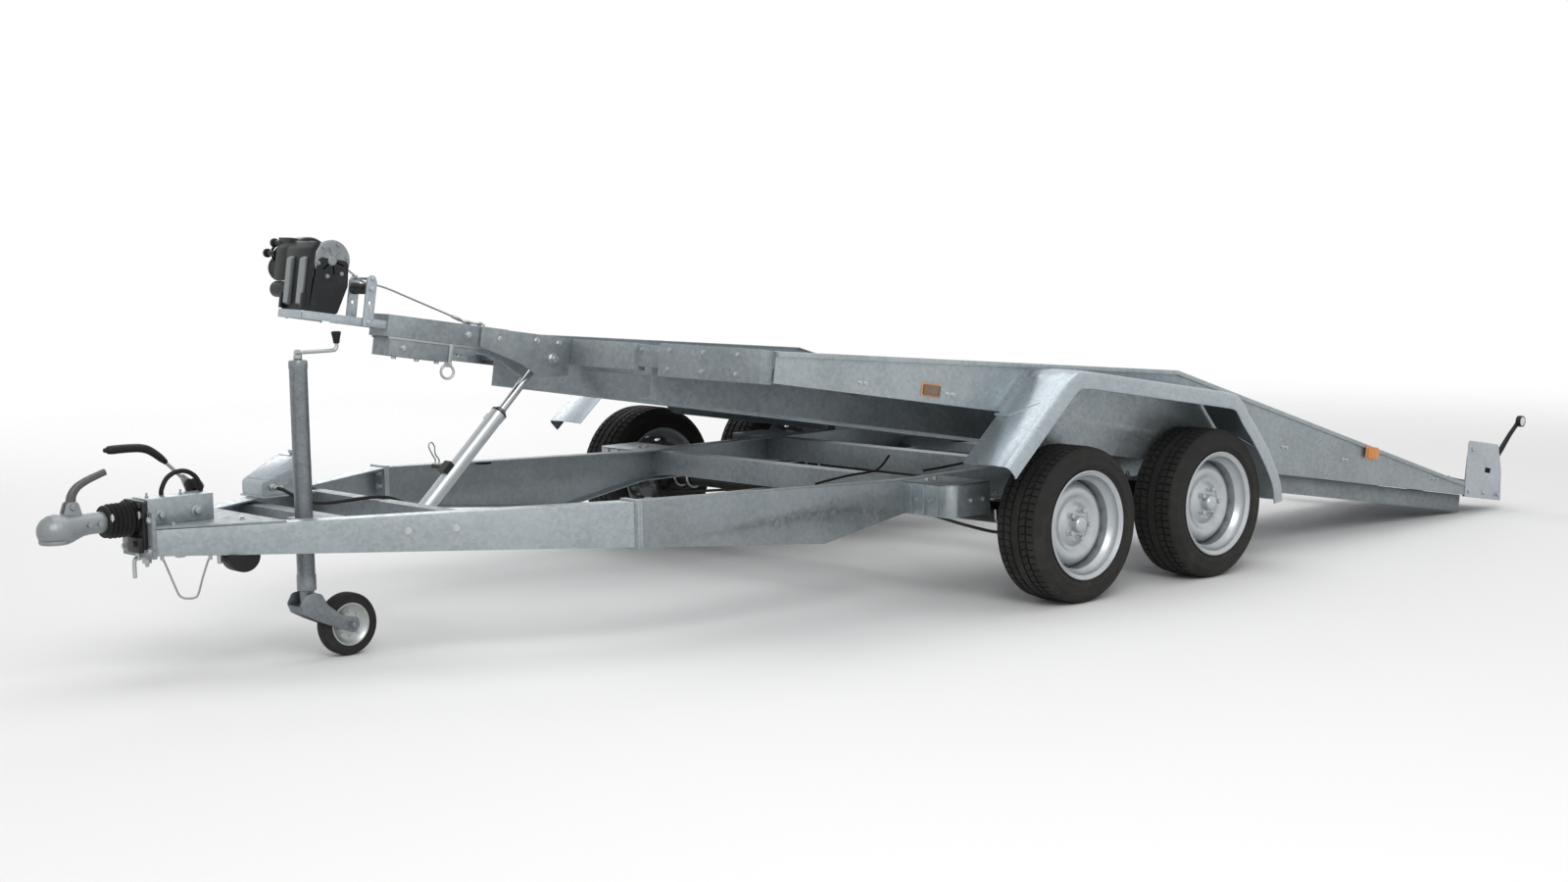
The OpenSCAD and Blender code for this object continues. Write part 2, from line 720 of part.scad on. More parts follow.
nose_top = rail_top_front - 2;
nose_end = -bed_front - 250;
nose_front = -bed_front - nose_len;
tray_z = nose_top - nose_h - seat_gap;
module nose_beam() {
    color("silver") on_bed() {
        difference() {
            box(nose_front, nose_end, -nose_w / 2, nose_w / 2, nose_top - nose_h, nose_top);
            box(nose_front + 5, nose_end + 1, -nose_w / 2 + 5, nose_w / 2 - 5,
                nose_top - nose_h + 5, nose_top - 5);
        }
        // Tray and step under the beam
        difference() {
            box(nose_front + 15, nose_front + 235, -46, 46, tray_z - 58, tray_z);
            box(nose_front + 19, nose_front + 231, -42, 42, tray_z - 59, tray_z - 4);
        }
        difference() {
            box(nose_front + 250, nose_front + 340, -46, 46, tray_z - 28, tray_z);
            box(nose_front + 254, nose_front + 336, -42, 42, tray_z - 29, tray_z - 4);
        }
    }
}

winch_x = nose_front - 215;
winch_z = nose_top + 137;
winch_near = winch_y - 145;
winch_far = winch_y + 50;
shelf_top = nose_top - 22;
shelf_t = 24;
module winch_foot(y) {
    slab(y, y + 11) polygon([[winch_x - 66, shelf_top - e], [winch_x + 66, shelf_top - e],
        [winch_x + 50, winch_z], [winch_x - 50, winch_z]]);
}

module winch_frame() {
    color("dimgray") on_bed() {
        // Shelf in front of the nose beam, open below
        difference() {
            union() {
                box(nose_front - 150, nose_front - seat_gap, winch_near, 45, shelf_top - shelf_t, shelf_top);
                box(nose_front - 305, nose_front - 150 + e, winch_near, winch_y - 10, shelf_top - shelf_t, shelf_top);
            }
            box(nose_front - 145, nose_front - 6, winch_near + 5, 40, shelf_top - shelf_t - 1, shelf_top - 5);
            box(nose_front - 300, nose_front - 155, winch_near + 5, winch_y - 15,
                shelf_top - shelf_t - 1, shelf_top - 5);
        }
        difference() {
            union() {
                rod_y(winch_x, winch_z, winch_near, winch_near + 11, winch_d);
                rod_y(winch_x, winch_z, winch_y - 22, winch_far, 140);
                for (y = [winch_near, winch_y - 22]) winch_foot(y);
            }
            rod_y(winch_x, winch_z, winch_near + 4, winch_y + 20, 24 + 2 * run_gap);
        }
        // Motor behind the gear housing
        rod_y(winch_x - 8, winch_z - 28, winch_far - e, winch_y + 145, 80);
        // Front housing with two ribs
        box(winch_x - 78, winch_x - 66 + e, winch_near, winch_far, shelf_top - e, winch_z + 30);
        for (y = [winch_near + 14, winch_near + 86])
            box(winch_x - 90, winch_x - 78 + e, y, y + 24, shelf_top + 20, winch_z);
    }
}

module winch_drum() {
    color("gray") on_bed() {
        rod_y(winch_x, winch_z, winch_near + 5, winch_y + 15, 24);
        rod_y(winch_x, winch_z, winch_near + 20, winch_near + 114, drum_d);
        for (y = [winch_near + 17, winch_near + 112]) rod_y(winch_x, winch_z, y, y + 5, winch_d - 10);
    }
}

drum_d = 60;
leave_r = (drum_d + rope_d) / 2 + 0.7;
rope_y = winch_y - 70;
post_x = nose_front - 72;
roller_z = nose_top + 68;
roller_d = 36;
// The rope leaves the top of the drum, passes over the roller and ends on the nose beam
module rope_run(a, b) {
    hull() for (p = [a, b]) translate(p) sphere(d = rope_d, $fn = 8);
}

module winch_rope() {
    over = [post_x, 0, roller_z + roller_d / 2 + rope_d / 2 + 0.4];
    down = [nose_front + 15, 0, nose_top + 80];
    end = [nose_front + 315, 0, nose_top + 10];
    color("silver") on_bed() {
        rope_run([winch_x + 0.52 * leave_r, rope_y, winch_z + 0.854 * leave_r], over);
        rope_run(over, down);
        rope_run(down, end);
        // Hook at the rope's end
        box(nose_front + 311, nose_front + 380, -9, 9, nose_top + seat_gap, nose_top + 20);
    }
}

module guide_post() {
    color("silver") on_bed() {
        // Cheeks on the shelf, with a roller and a keeper between them
        both_sides() box(post_x - 18, post_x + 18, 45 + seat_gap, 51, shelf_top - shelf_t, nose_top + 110);
        rod_y(post_x, roller_z, -45 - 2 * seat_gap, 45 + 2 * seat_gap, roller_d);
        rod_y(post_x, nose_top + 100, -45 - 2 * seat_gap, 45 + 2 * seat_gap, 10);
    }
}

module ram_bracket() {
    color("silver") on_bed() {
        both_sides() slab(nose_w / 2 + seat_gap, nose_w / 2 + 9) polygon([
            [nose_end - 110, nose_top - 2], [-bed_front - seat_gap, nose_top - 2],
            [-bed_front - seat_gap, pin_z - 50], [pin_x - 40, pin_z - 66], [pin_x - 120, pin_z - 30],
            [nose_end - 110, nose_top - nose_h + 4]]);
    }
}

guard_out = track_w / 2 + tyre_w / 2 + 8;
arch_line = [[-742, 318], [-719, 348], [-475, 634], [-440, 654], [-395, 660], [425, 660], [465, 644],
             [500, 604], [590, 535], [680, 450], [750, 365], [765, 300]];
arch_mid = [0, 200];
function inward(points, t) = [for (p = points) p + t * (arch_mid - p) / norm(arch_mid - p)];
module mudguard() {
    slab(rail_y + 10 + seat_gap, guard_out) polygon(concat(arch_line, back(inward(arch_line, 3.5))));
    slab(guard_out - 3, guard_out) polygon(concat(arch_line, back(inward(arch_line, 58))));
    // Inner edge on the rail
    box(-330, 420, rail_y + seat_gap, rail_y + 14, 643, 658);
}

module mudguard_left() {
    color("silver") on_bed() side(-1) mudguard();
}

module mudguard_right() {
    color("silver") on_bed() side(1) mudguard();
}

module rear_skids() {
    color("dimgray") on_bed() both_sides() {
        channel([[1000, rail_low_rear - 1], [2360, rail_low_rear - 1]], [[1000, 326], [2360, 326]],
            rail_y - 50, rail_y - 130, 5);
        for (x = [1400, 2050])
            box(x + 5, x + 45, rail_y - 110, rail_y - 60, rail_low_rear - 6 - e, deck_at(x + 50) - 44 - seat_gap);
    }
}

module lamp_plates() {
    color("silver") on_bed() both_sides() {
        slab(rail_y + seat_gap, rail_y + 4) polygon([[bed_rear - 280, rail_low_rear - 6], [bed_rear, rail_low_rear - 6],
            [bed_rear - 60, rail_low_rear - 6 + lamp_plate_h], [bed_rear - 290, rail_low_rear - 6 + lamp_plate_h]]);
    }
}

module side_lamps() {
    color("orange") on_bed() both_sides() {
        box(-962, -878, rail_y + seat_gap, rail_y + 12, 517, 560);
        box(1550, 1630, rail_y + 10 + seat_gap, rail_y + 22, 492, 542);
    }
}

module marker_lamps() {
    color("black") on_bed() both_sides() {
        hull() {
            rod_y(lens_x - 175, lens_z - 190, rail_y - 16, rail_y, 26);
            rod_y(lens_x - 12, lens_z - 12, rail_y - 16, rail_y, 20);
        }
        rod_y(lens_x, lens_z, rail_y - 20, rail_y + 4, 2 * lens_r);
    }
}

drawbar_left();
drawbar_right();
side_member_left();
side_member_right();
head_plate();
crossmembers();
pivot_brackets();
spring_hangers();
leaf_springs();
front_axle();
rear_axle();
coupling_housing();
bellows();
coupling_head();
coupling_lever();
handbrake_lever();
brake_cable();
safety_wire();
pump_box();
jockey_tube();
jockey_leg();
jockey_fork();
jockey_wheel();
jockey_crank();
tyre_front_left();
tyre_front_right();
tyre_rear_left();
tyre_rear_right();
rim_front_left();
rim_front_right();
rim_rear_left();
rim_rear_right();
ram_cylinder();
ram_rod();
side_rail_left();
side_rail_right();
inner_beams();
front_beam();
bed_crossmembers();
runway_left();
runway_right();
nose_beam();
winch_frame();
winch_drum();
winch_rope();
guide_post();
ram_bracket();
mudguard_left();
mudguard_right();
rear_skids();
lamp_plates();
side_lamps();
marker_lamps();
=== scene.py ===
# Looks of the tilt-bed car trailer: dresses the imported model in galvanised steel,
# rubber, paint and plastic, and adds the fittings that the photograph shows.
import math

import bmesh
import bpy
from mathutils import Matrix, Vector
from mathutils.geometry import tessellate_polygon


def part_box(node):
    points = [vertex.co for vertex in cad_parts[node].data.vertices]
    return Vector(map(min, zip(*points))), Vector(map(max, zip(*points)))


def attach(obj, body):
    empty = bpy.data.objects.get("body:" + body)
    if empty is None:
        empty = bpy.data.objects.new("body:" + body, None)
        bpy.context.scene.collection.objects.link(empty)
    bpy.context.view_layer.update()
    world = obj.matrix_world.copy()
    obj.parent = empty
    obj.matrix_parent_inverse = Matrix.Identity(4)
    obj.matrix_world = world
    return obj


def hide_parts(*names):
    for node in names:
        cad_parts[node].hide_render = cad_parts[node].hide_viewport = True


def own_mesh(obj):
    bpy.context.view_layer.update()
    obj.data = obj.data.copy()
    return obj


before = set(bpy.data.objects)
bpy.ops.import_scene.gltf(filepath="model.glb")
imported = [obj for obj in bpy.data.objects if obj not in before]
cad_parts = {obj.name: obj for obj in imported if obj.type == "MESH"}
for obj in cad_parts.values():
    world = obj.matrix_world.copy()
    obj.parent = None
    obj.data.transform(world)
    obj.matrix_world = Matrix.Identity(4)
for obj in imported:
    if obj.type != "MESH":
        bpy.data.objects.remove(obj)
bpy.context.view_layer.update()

# Places: the chassis is drawn with x = 0 between the axles, the bed as if it were level
AXLE_HALF = 0.353
TILT = math.radians(9.2)
axle_low, axle_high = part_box("front_axle")
SHIFT = (axle_low.x + axle_high.x) / 2 + AXLE_HALF
CAR = Matrix.Translation((SHIFT, 0, 0))
BED = (Matrix.Translation((SHIFT + 0.350, 0, 0.500)) @ Matrix.Rotation(TILT, 4, "Y")
       @ Matrix.Translation((-0.350, 0, -0.500)))
RAM_FOOT = Vector((-2.230, 0, 0.340))
RAM_ANGLE = math.radians(43.327)
RAM = CAR @ Matrix.Translation(RAM_FOOT) @ Matrix.Rotation(-RAM_ANGLE, 4, "Y")


# Shader groups

def group(name, inputs, outputs):
    """A shader node group with named sockets; returns the tree and its two end nodes."""
    tree = bpy.data.node_groups.new(name, "ShaderNodeTree")
    for label, kind, value in inputs:
        socket = tree.interface.new_socket(label, in_out="INPUT", socket_type="NodeSocket" + kind)
        if value is not None:
            socket.default_value = value
    for label, kind in outputs:
        tree.interface.new_socket(label, in_out="OUTPUT", socket_type="NodeSocket" + kind)
    return tree, tree.nodes.new("NodeGroupInput"), tree.nodes.new("NodeGroupOutput")


def node(tree, kind, links=(), **values):
    """Adds a node. links are (socket, source socket) pairs, and values set its own fields."""
    made = tree.nodes.new("ShaderNode" + kind)
    for key, value in values.items():
        setattr(made, key, value)
    for socket, source in links:
        target = made.inputs[socket]
        if isinstance(source, bpy.types.NodeSocket):
            tree.links.new(source, target)
        else:
            target.default_value = source
    return made


def ramp(tree, source, stops):
    made = tree.nodes.new("ShaderNodeMapRange")
    made.interpolation_type = "SMOOTHSTEP"
    tree.links.new(source, made.inputs["Value"])
    for key, value in zip(("From Min", "From Max", "To Min", "To Max"), stops):
        made.inputs[key].default_value = value
    return made.outputs["Result"]


def blend_colours(tree, mask, a, b):
    made = tree.nodes.new("ShaderNodeMix")
    made.data_type = "RGBA"
    for socket, source in ((made.inputs[0], mask), (made.inputs[6], a), (made.inputs[7], b)):
        if isinstance(source, bpy.types.NodeSocket):
            tree.links.new(source, socket)
        else:
            socket.default_value = source
    return made.outputs[2]


def make_spangle():
    """Zinc crystals of many greys, with clouds where the bath ran off."""
    tree, start, end = group("zinc_spangle",
                             [("Crystals per metre", "Float", 90), ("Cloud size", "Float", 3.5)],
                             [("Shade", "Float"), ("Dullness", "Float"), ("Height", "Float")])
    place = node(tree, "TexCoord").outputs["Object"]
    stir = node(tree, "TexNoise", [("Vector", place), ("Scale", 40), ("Detail", 2)])
    bent = node(tree, "VectorMath", [(0, stir.outputs["Color"]), (1, (0.006, 0.006, 0.006))],
                operation="MULTIPLY")
    moved = node(tree, "VectorMath", [(0, place), (1, bent.outputs[0])], operation="ADD")
    cells = node(tree, "TexVoronoi", [("Vector", moved.outputs[0]),
                                      ("Scale", start.outputs["Crystals per metre"])])
    grey = node(tree, "SeparateColor", [(0, cells.outputs["Color"])])
    clouds = node(tree, "TexNoise", [("Vector", place), ("Scale", start.outputs["Cloud size"]),
                                     ("Detail", 5), ("Roughness", 0.6)])
    mixed = node(tree, "Math", [(0, grey.outputs[0]), (1, 0.22)], operation="MULTIPLY")
    shade = node(tree, "Math", [(0, mixed.outputs[0]), (1, clouds.outputs["Fac"])], operation="ADD")
    tree.links.new(ramp(tree, shade.outputs[0], (0.3, 0.92, 0, 1)), end.inputs["Shade"])
    dull = node(tree, "Math", [(0, grey.outputs[1]), (1, clouds.outputs["Fac"])], operation="MULTIPLY")
    tree.links.new(dull.outputs[0], end.inputs["Dullness"])
    tree.links.new(cells.outputs["Distance"], end.inputs["Height"])
    return tree


def make_dirt():
    """Road film: more of it low down and in broken patches."""
    tree, start, end = group("road_film",
                             [("Low", "Float", 0.0), ("High", "Float", 0.6), ("Amount", "Float", 0.5)],
                             [("Mask", "Float")])
    place = node(tree, "TexCoord").outputs["Object"]
    parts = node(tree, "SeparateXYZ", [(0, place)])
    fall = tree.nodes.new("ShaderNodeMapRange")
    tree.links.new(parts.outputs["Z"], fall.inputs["Value"])
    tree.links.new(start.outputs["Low"], fall.inputs["From Min"])
    tree.links.new(start.outputs["High"], fall.inputs["From Max"])
    fall.inputs["To Min"].default_value = 1
    fall.inputs["To Max"].default_value = 0.15
    patch = node(tree, "TexNoise", [("Vector", place), ("Scale", 14), ("Detail", 8), ("Roughness", 0.65)])
    broken = ramp(tree, patch.outputs["Fac"], (0.4, 0.75, 0.25, 1))
    both = node(tree, "Math", [(0, fall.outputs["Result"]), (1, broken)], operation="MULTIPLY")
    held = node(tree, "Math", [(0, both.outputs[0]), (1, start.outputs["Amount"])], operation="MULTIPLY",
                use_clamp=True)
    tree.links.new(held.outputs[0], end.inputs["Mask"])
    return tree


def make_grain():
    """Fine bumps of cast metal, rubber and moulded plastic."""
    tree, start, end = group("fine_grain", [("Grains per metre", "Float", 900), ("Wear", "Float", 0.5)],
                             [("Height", "Float"), ("Worn", "Float")])
    place = node(tree, "TexCoord").outputs["Object"]
    fine = node(tree, "TexNoise", [("Vector", place), ("Scale", start.outputs["Grains per metre"]),
                                   ("Detail", 3)])
    broad = node(tree, "TexNoise", [("Vector", place), ("Scale", 28), ("Detail", 6), ("Roughness", 0.7)])
    worn = node(tree, "Math", [(0, ramp(tree, broad.outputs["Fac"], (0.5, 0.8, 0, 1))),
                               (1, start.outputs["Wear"])], operation="MULTIPLY")
    tree.links.new(fine.outputs["Fac"], end.inputs["Height"])
    tree.links.new(worn.outputs[0], end.inputs["Worn"])
    return tree


SPANGLE = make_spangle()
DIRT = make_dirt()
GRAIN = make_grain()
DUST = (0.13, 0.12, 0.105, 1)


def start_material(name):
    made = bpy.data.materials.new(name)
    made.use_nodes = True
    tree = made.node_tree
    return made, tree, tree.nodes["Principled BSDF"]


def use_group(tree, shared, **values):
    made = tree.nodes.new("ShaderNodeGroup")
    made.node_tree = shared
    for key, value in values.items():
        made.inputs[key.replace("_", " ")].default_value = value
    return made


def bump(tree, shader, height, strength, distance):
    made = node(tree, "Bump", [("Height", height), ("Strength", strength), ("Distance", distance)])
    tree.links.new(made.outputs["Normal"], shader.inputs["Normal"])


def galvanised(name, dark, light, rough=0.42, metallic=0.75, crystals=70, film=0.35, high=0.7):
    """Hot-dip zinc, from fresh and bright to dull grey."""
    made, tree, shader = start_material(name)
    zinc = use_group(tree, SPANGLE)
    zinc.inputs["Crystals per metre"].default_value = crystals
    colour = blend_colours(tree, zinc.outputs["Shade"], dark, light)
    dirt = use_group(tree, DIRT, Amount=film, High=high)
    soiled = blend_colours(tree, dirt.outputs["Mask"], colour, DUST)
    tree.links.new(soiled, shader.inputs["Base Color"])
    tree.links.new(ramp(tree, zinc.outputs["Dullness"], (0, 0.7, rough - 0.07, rough + 0.13)),
                   shader.inputs["Roughness"])
    tree.links.new(ramp(tree, dirt.outputs["Mask"], (0, 1, metallic, 0.1)), shader.inputs["Metallic"])
    bump(tree, shader, zinc.outputs["Height"], 0.12, 0.0006)
    return made


def grained(name, colour, worn, rough, metallic=0.0, grains=900, wear=0.5, depth=0.0003, film=0.3,
            high=0.6, coat=0.0, shine=0.5):
    """Paint, rubber, plastic or cast metal, with its fine grain, its wear and some road film."""
    made, tree, shader = start_material(name)
    grain = use_group(tree, GRAIN, Wear=wear)
    grain.inputs["Grains per metre"].default_value = grains
    base = blend_colours(tree, grain.outputs["Worn"], colour, worn)
    dirt = use_group(tree, DIRT, Amount=film, High=high)
    tree.links.new(blend_colours(tree, dirt.outputs["Mask"], base, DUST), shader.inputs["Base Color"])
    tree.links.new(ramp(tree, grain.outputs["Worn"], (0, 1, rough, min(1, rough + 0.15))),
                   shader.inputs["Roughness"])
    shader.inputs["Metallic"].default_value = metallic
    shader.inputs["Coat Weight"].default_value = coat
    shader.inputs["Specular IOR Level"].default_value = shine
    bump(tree, shader, grain.outputs["Height"], 0.5, depth)
    return made


ZINC = galvanised("zinc_bright", (0.29, 0.33, 0.345, 1), (0.42, 0.465, 0.49, 1), crystals=90)
ZINC_DULL = galvanised("zinc_dull", (0.20, 0.23, 0.245, 1), (0.32, 0.355, 0.375, 1), rough=0.55, metallic=0.5)
ZINC_SHEET = galvanised("zinc_sheet", (0.33, 0.375, 0.40, 1), (0.46, 0.51, 0.55, 1), rough=0.36,
                        crystals=120, film=0.2)
ZINC_PALE = galvanised("zinc_pale", (0.40, 0.44, 0.47, 1), (0.52, 0.57, 0.61, 1), rough=0.38, crystals=120,
                       film=0.15)
TUBE_STEEL = galvanised("zinc_tube", (0.17, 0.19, 0.205, 1), (0.27, 0.30, 0.32, 1), rough=0.40, crystals=130,
                        film=0.2)
PLATED = grained("plated_casting", (0.44, 0.47, 0.46, 1), (0.30, 0.31, 0.30, 1), 0.36, metallic=0.85,
                 grains=500, depth=0.0005, film=0.15)
CAST_GREY = grained("grey_casting", (0.26, 0.28, 0.29, 1), (0.17, 0.18, 0.18, 1), 0.42, metallic=0.6,
                    grains=500, depth=0.0005, film=0.1)
CAST_DARK = grained("dark_casting", (0.10, 0.105, 0.105, 1), (0.20, 0.20, 0.19, 1), 0.40, metallic=0.7,
                    grains=500, depth=0.0005, film=0.1)
BLACK_PAINT = grained("black_paint", (0.012, 0.012, 0.013, 1), (0.05, 0.05, 0.05, 1), 0.42, film=0.2,
                      shine=0.3)
SILVER_PAINT = grained("silver_paint", (0.50, 0.53, 0.55, 1), (0.38, 0.40, 0.41, 1), 0.34, metallic=0.65,
                       film=0.25, high=0.5)
TYRE_RUBBER = grained("tyre_rubber", (0.014, 0.014, 0.0135, 1), (0.034, 0.033, 0.031, 1), 0.78,
                      grains=700, film=0.22, high=0.5, shine=0.3)
RUBBER = grained("moulded_rubber", (0.009, 0.009, 0.009, 1), (0.025, 0.024, 0.023, 1), 0.62, film=0.1,
                 shine=0.25)
PLASTIC = grained("black_plastic", (0.009, 0.009, 0.010, 1), (0.02, 0.02, 0.02, 1), 0.45, film=0.06,
                  shine=0.25)
WINCH_PAINT = grained("winch_paint", (0.008, 0.010, 0.011, 1), (0.035, 0.04, 0.045, 1), 0.38, film=0.06,
                      shine=0.3)
BARE_STEEL = grained("bare_steel", (0.35, 0.36, 0.36, 1), (0.20, 0.19, 0.18, 1), 0.35, metallic=0.9,
                     grains=300, film=0.1)
BOLT_STEEL = grained("bolt_steel", (0.52, 0.54, 0.55, 1), (0.32, 0.31, 0.29, 1), 0.34, metallic=0.9,
                     grains=600, film=0.15)
REFLECTOR_BASE = grained("reflector_base", (0.72, 0.33, 0.16, 1), (0.60, 0.30, 0.18, 1), 0.38, film=0.1)
CHROME = grained("ground_rod", (0.62, 0.64, 0.66, 1), (0.5, 0.5, 0.5, 1), 0.12, metallic=1.0, film=0.02,
                 depth=0.00005)


def lens_material(name, deep, bright):
    """Moulded lens: small prisms behind a smooth glossy face."""
    made, tree, shader = start_material(name)
    place = node(tree, "TexCoord").outputs["Object"]
    prisms = node(tree, "TexVoronoi", [("Vector", place), ("Scale", 260)], distance="CHEBYCHEV")
    colour = blend_colours(tree, prisms.outputs["Distance"], deep, bright)
    tree.links.new(colour, shader.inputs["Base Color"])
    shader.inputs["Roughness"].default_value = 0.14
    shader.inputs["Coat Weight"].default_value = 0.6
    bump(tree, shader, prisms.outputs["Distance"], 0.4, 0.0006)
    return made


AMBER = lens_material("amber_lens", (0.42, 0.10, 0.008, 1), (0.95, 0.40, 0.06, 1))
# A darker copy of the amber lens with painted shade, used for the front reflector
AMBER_SHADED = lens_material("amber_lens_shaded", (0.09, 0.05, 0.028, 1), (0.24, 0.14, 0.075, 1))
RED = lens_material("red_lens", (0.30, 0.008, 0.006, 1), (0.75, 0.04, 0.03, 1))
CLEAR = lens_material("clear_lens", (0.55, 0.57, 0.58, 1), (0.92, 0.93, 0.94, 1))


def make_wire_material():
    """Strands laid in a twist, read from the cord's own UV map."""
    made, tree, shader = start_material("steel_wire")
    place = node(tree, "TexCoord").outputs["UV"]
    strands = node(tree, "TexWave", [("Vector", place), ("Scale", 1.0)], wave_type="BANDS",
                   bands_direction="DIAGONAL")
    colour = blend_colours(tree, strands.outputs["Fac"], (0.12, 0.12, 0.12, 1), (0.50, 0.51, 0.51, 1))
    tree.links.new(colour, shader.inputs["Base Color"])
    shader.inputs["Metallic"].default_value = 0.8
    shader.inputs["Roughness"].default_value = 0.4
    bump(tree, shader, strands.outputs["Fac"], 0.8, 0.0006)
    return made


WIRE = make_wire_material()


# Forms

def put(bm, verts, faces, place=None):
    made = [bm.verts.new(place @ Vector(v) if place else v) for v in verts]
    for face in faces:
        bm.faces.new([made[i] for i in face])
    return made


def block(bm, x0, x1, y0, y1, z0, z1, place=None):
    put(bm, [(x, y, z) for x in (x0, x1) for y in (y0, y1) for z in (z0, z1)],
        [(0, 1, 3, 2), (4, 6, 7, 5), (0, 4, 5, 1), (2, 3, 7, 6), (0, 2, 6, 4), (1, 5, 7, 3)], place)


def turn_to(direction):
    """Turns +Z to a direction."""
    return Vector((0, 0, 1)).rotation_difference(Vector(direction)).to_matrix().to_4x4()


def turned(bm, profile, foot=(0, 0, 0), axis=(0, 0, 1), sides=48, place=None):
    """Turns a line of (radius, height) points round an axis. A radius of 0 closes an end in a pole."""
    base = Matrix.Translation(foot) @ turn_to(axis)
    if place:
        base = place @ base
    rings = []
    for radius, height in profile:
        if radius < 1e-6:
            rings.append([bm.verts.new(base @ Vector((0, 0, height)))])
        else:
            rings.append([bm.verts.new(base @ Vector((radius * math.cos(a), radius * math.sin(a), height)))
                          for a in (2 * math.pi * i / sides for i in range(sides))])
    closed = profile[0] == profile[-1] and len(profile) > 2
    if closed:
        for v in rings[-1]:
            bm.verts.remove(v)
        rings[-1] = rings[0]
    for a, b in zip(rings, rings[1:]):
        if len(a) == len(b) == 1:
            continue
        for i in range(sides):
            j = (i + 1) % sides
            if len(a) == 1:
                bm.faces.new([a[0], b[j], b[i]])
            elif len(b) == 1:
                bm.faces.new([a[i], a[j], b[0]])
            else:
                bm.faces.new([a[i], a[j], b[j], b[i]])


def rod(bm, a, b, radius, sides=32, edge=None, place=None):
    """A round bar from a to b with small chamfers at its ends."""
    a, b = Vector(a), Vector(b)
    length = (b - a).length
    c = min(radius * 0.12, length * 0.3, 0.0015) if edge is None else edge
    turned(bm, [(0, 0), (radius - c, 0), (radius, c), (radius, length - c), (radius - c, length), (0, length)],
           a, b - a, sides, place)


def smooth_line(points, steps=8):
    """A Catmull-Rom curve through the points."""
    pts = [Vector(p) for p in points]
    pts = [2 * pts[0] - pts[1]] + pts + [2 * pts[-1] - pts[-2]]
    out = []
    for i in range(1, len(pts) - 2):
        p0, p1, p2, p3 = pts[i - 1:i + 3]
        for k in range(steps):
            t = k / steps
            out.append(0.5 * (2 * p1 + (p2 - p0) * t + (2 * p0 - 5 * p1 + 4 * p2 - p3) * t * t
                              + (3 * p1 - p0 - 3 * p2 + p3) * t ** 3))
    return out + [pts[-2]]


def swept(bm, line, section, place=None, side=(0, 1, 0), closed=False, uv=None):
    """Carries a closed section of (across, up) points along a line; across starts along side."""
    line = [Vector(p) for p in line]
    rings, count, run = [], len(section(0) if callable(section) else section), 0.0
    across = Vector(side)
    for i, p in enumerate(line):
        ahead = line[min(i + 1, len(line) - 1)] - line[max(i - 1, 0)]
        ahead.normalize()
        across = (across - ahead * across.dot(ahead)).normalized()
        up = ahead.cross(across)
        shape = section(i / (len(line) - 1)) if callable(section) else section
        ring = [p + across * u + up * v for u, v in shape]
        rings.append([bm.verts.new(place @ q if place else q) for q in ring])
    layer = bm.loops.layers.uv.verify() if uv else None
    for i, (a, b) in enumerate(zip(rings, rings[1:])):
        step = (line[i + 1] - line[i]).length
        for k in range(count):
            j = (k + 1) % count
            face = bm.faces.new([a[k], b[k], b[j], a[j]])
            if layer:
                for loop, (u, v) in zip(face.loops, ((k, run), (k, run + step), (k + 1, run + step),
                                                     (k + 1, run))):
                    loop[layer].uv = (u / count * uv[0], v * uv[1])
        run += step
    bm.faces.new(rings[0])
    bm.faces.new(rings[-1][::-1])


def ring_of(radius, sides=12, squash=1.0):
    return [(radius * math.cos(a), radius * squash * math.sin(a))
            for a in (2 * math.pi * i / sides for i in range(sides))]


def bar(bm, line, radius, sides=14, place=None, uv=None, steps=8):
    """A round bar or cable bent along a smooth line. The radius may be a list along it."""
    path = smooth_line(line, steps)
    if isinstance(radius, (list, tuple)):
        def section(t):
            at = t * (len(radius) - 1)
            i = min(int(at), len(radius) - 2)
            return ring_of(radius[i] + (radius[i + 1] - radius[i]) * (at - i), sides)
    else:
        section = ring_of(radius, sides)
    first = Vector(path[1]) - Vector(path[0])
    side = (0, 1, 0) if abs(first.normalized().y) < 0.9 else (1, 0, 0)
    swept(bm, path, section, place, side, uv=uv)


def plate(bm, outline, y0, y1, holes=(), place=None):
    """A flat plate in the XZ plane, from y0 to y1, with holes that are outlines too."""
    loops = [list(outline)] + [list(h) for h in holes]
    flat = [[Vector((x, 0, z)) for x, z in loop] for loop in loops]
    points = [p for loop in flat for p in loop]
    near = [bm.verts.new(place @ Vector((p.x, y0, p.z)) if place else (p.x, y0, p.z)) for p in points]
    far = [bm.verts.new(place @ Vector((p.x, y1, p.z)) if place else (p.x, y1, p.z)) for p in points]
    for tri in tessellate_polygon(flat):
        bm.faces.new([near[i] for i in tri])
        bm.faces.new([far[i] for i in reversed(tri)])
    start = 0
    for loop in flat:
        n = len(loop)
        for i in range(n):
            j = (i + 1) % n
            bm.faces.new([near[start + i], near[start + j], far[start + j], far[start + i]])
        start += n


def circle(x, z, radius, sides=20):
    return [(x + radius * math.cos(a), z + radius * math.sin(a))
            for a in (2 * math.pi * i / sides for i in range(sides))]


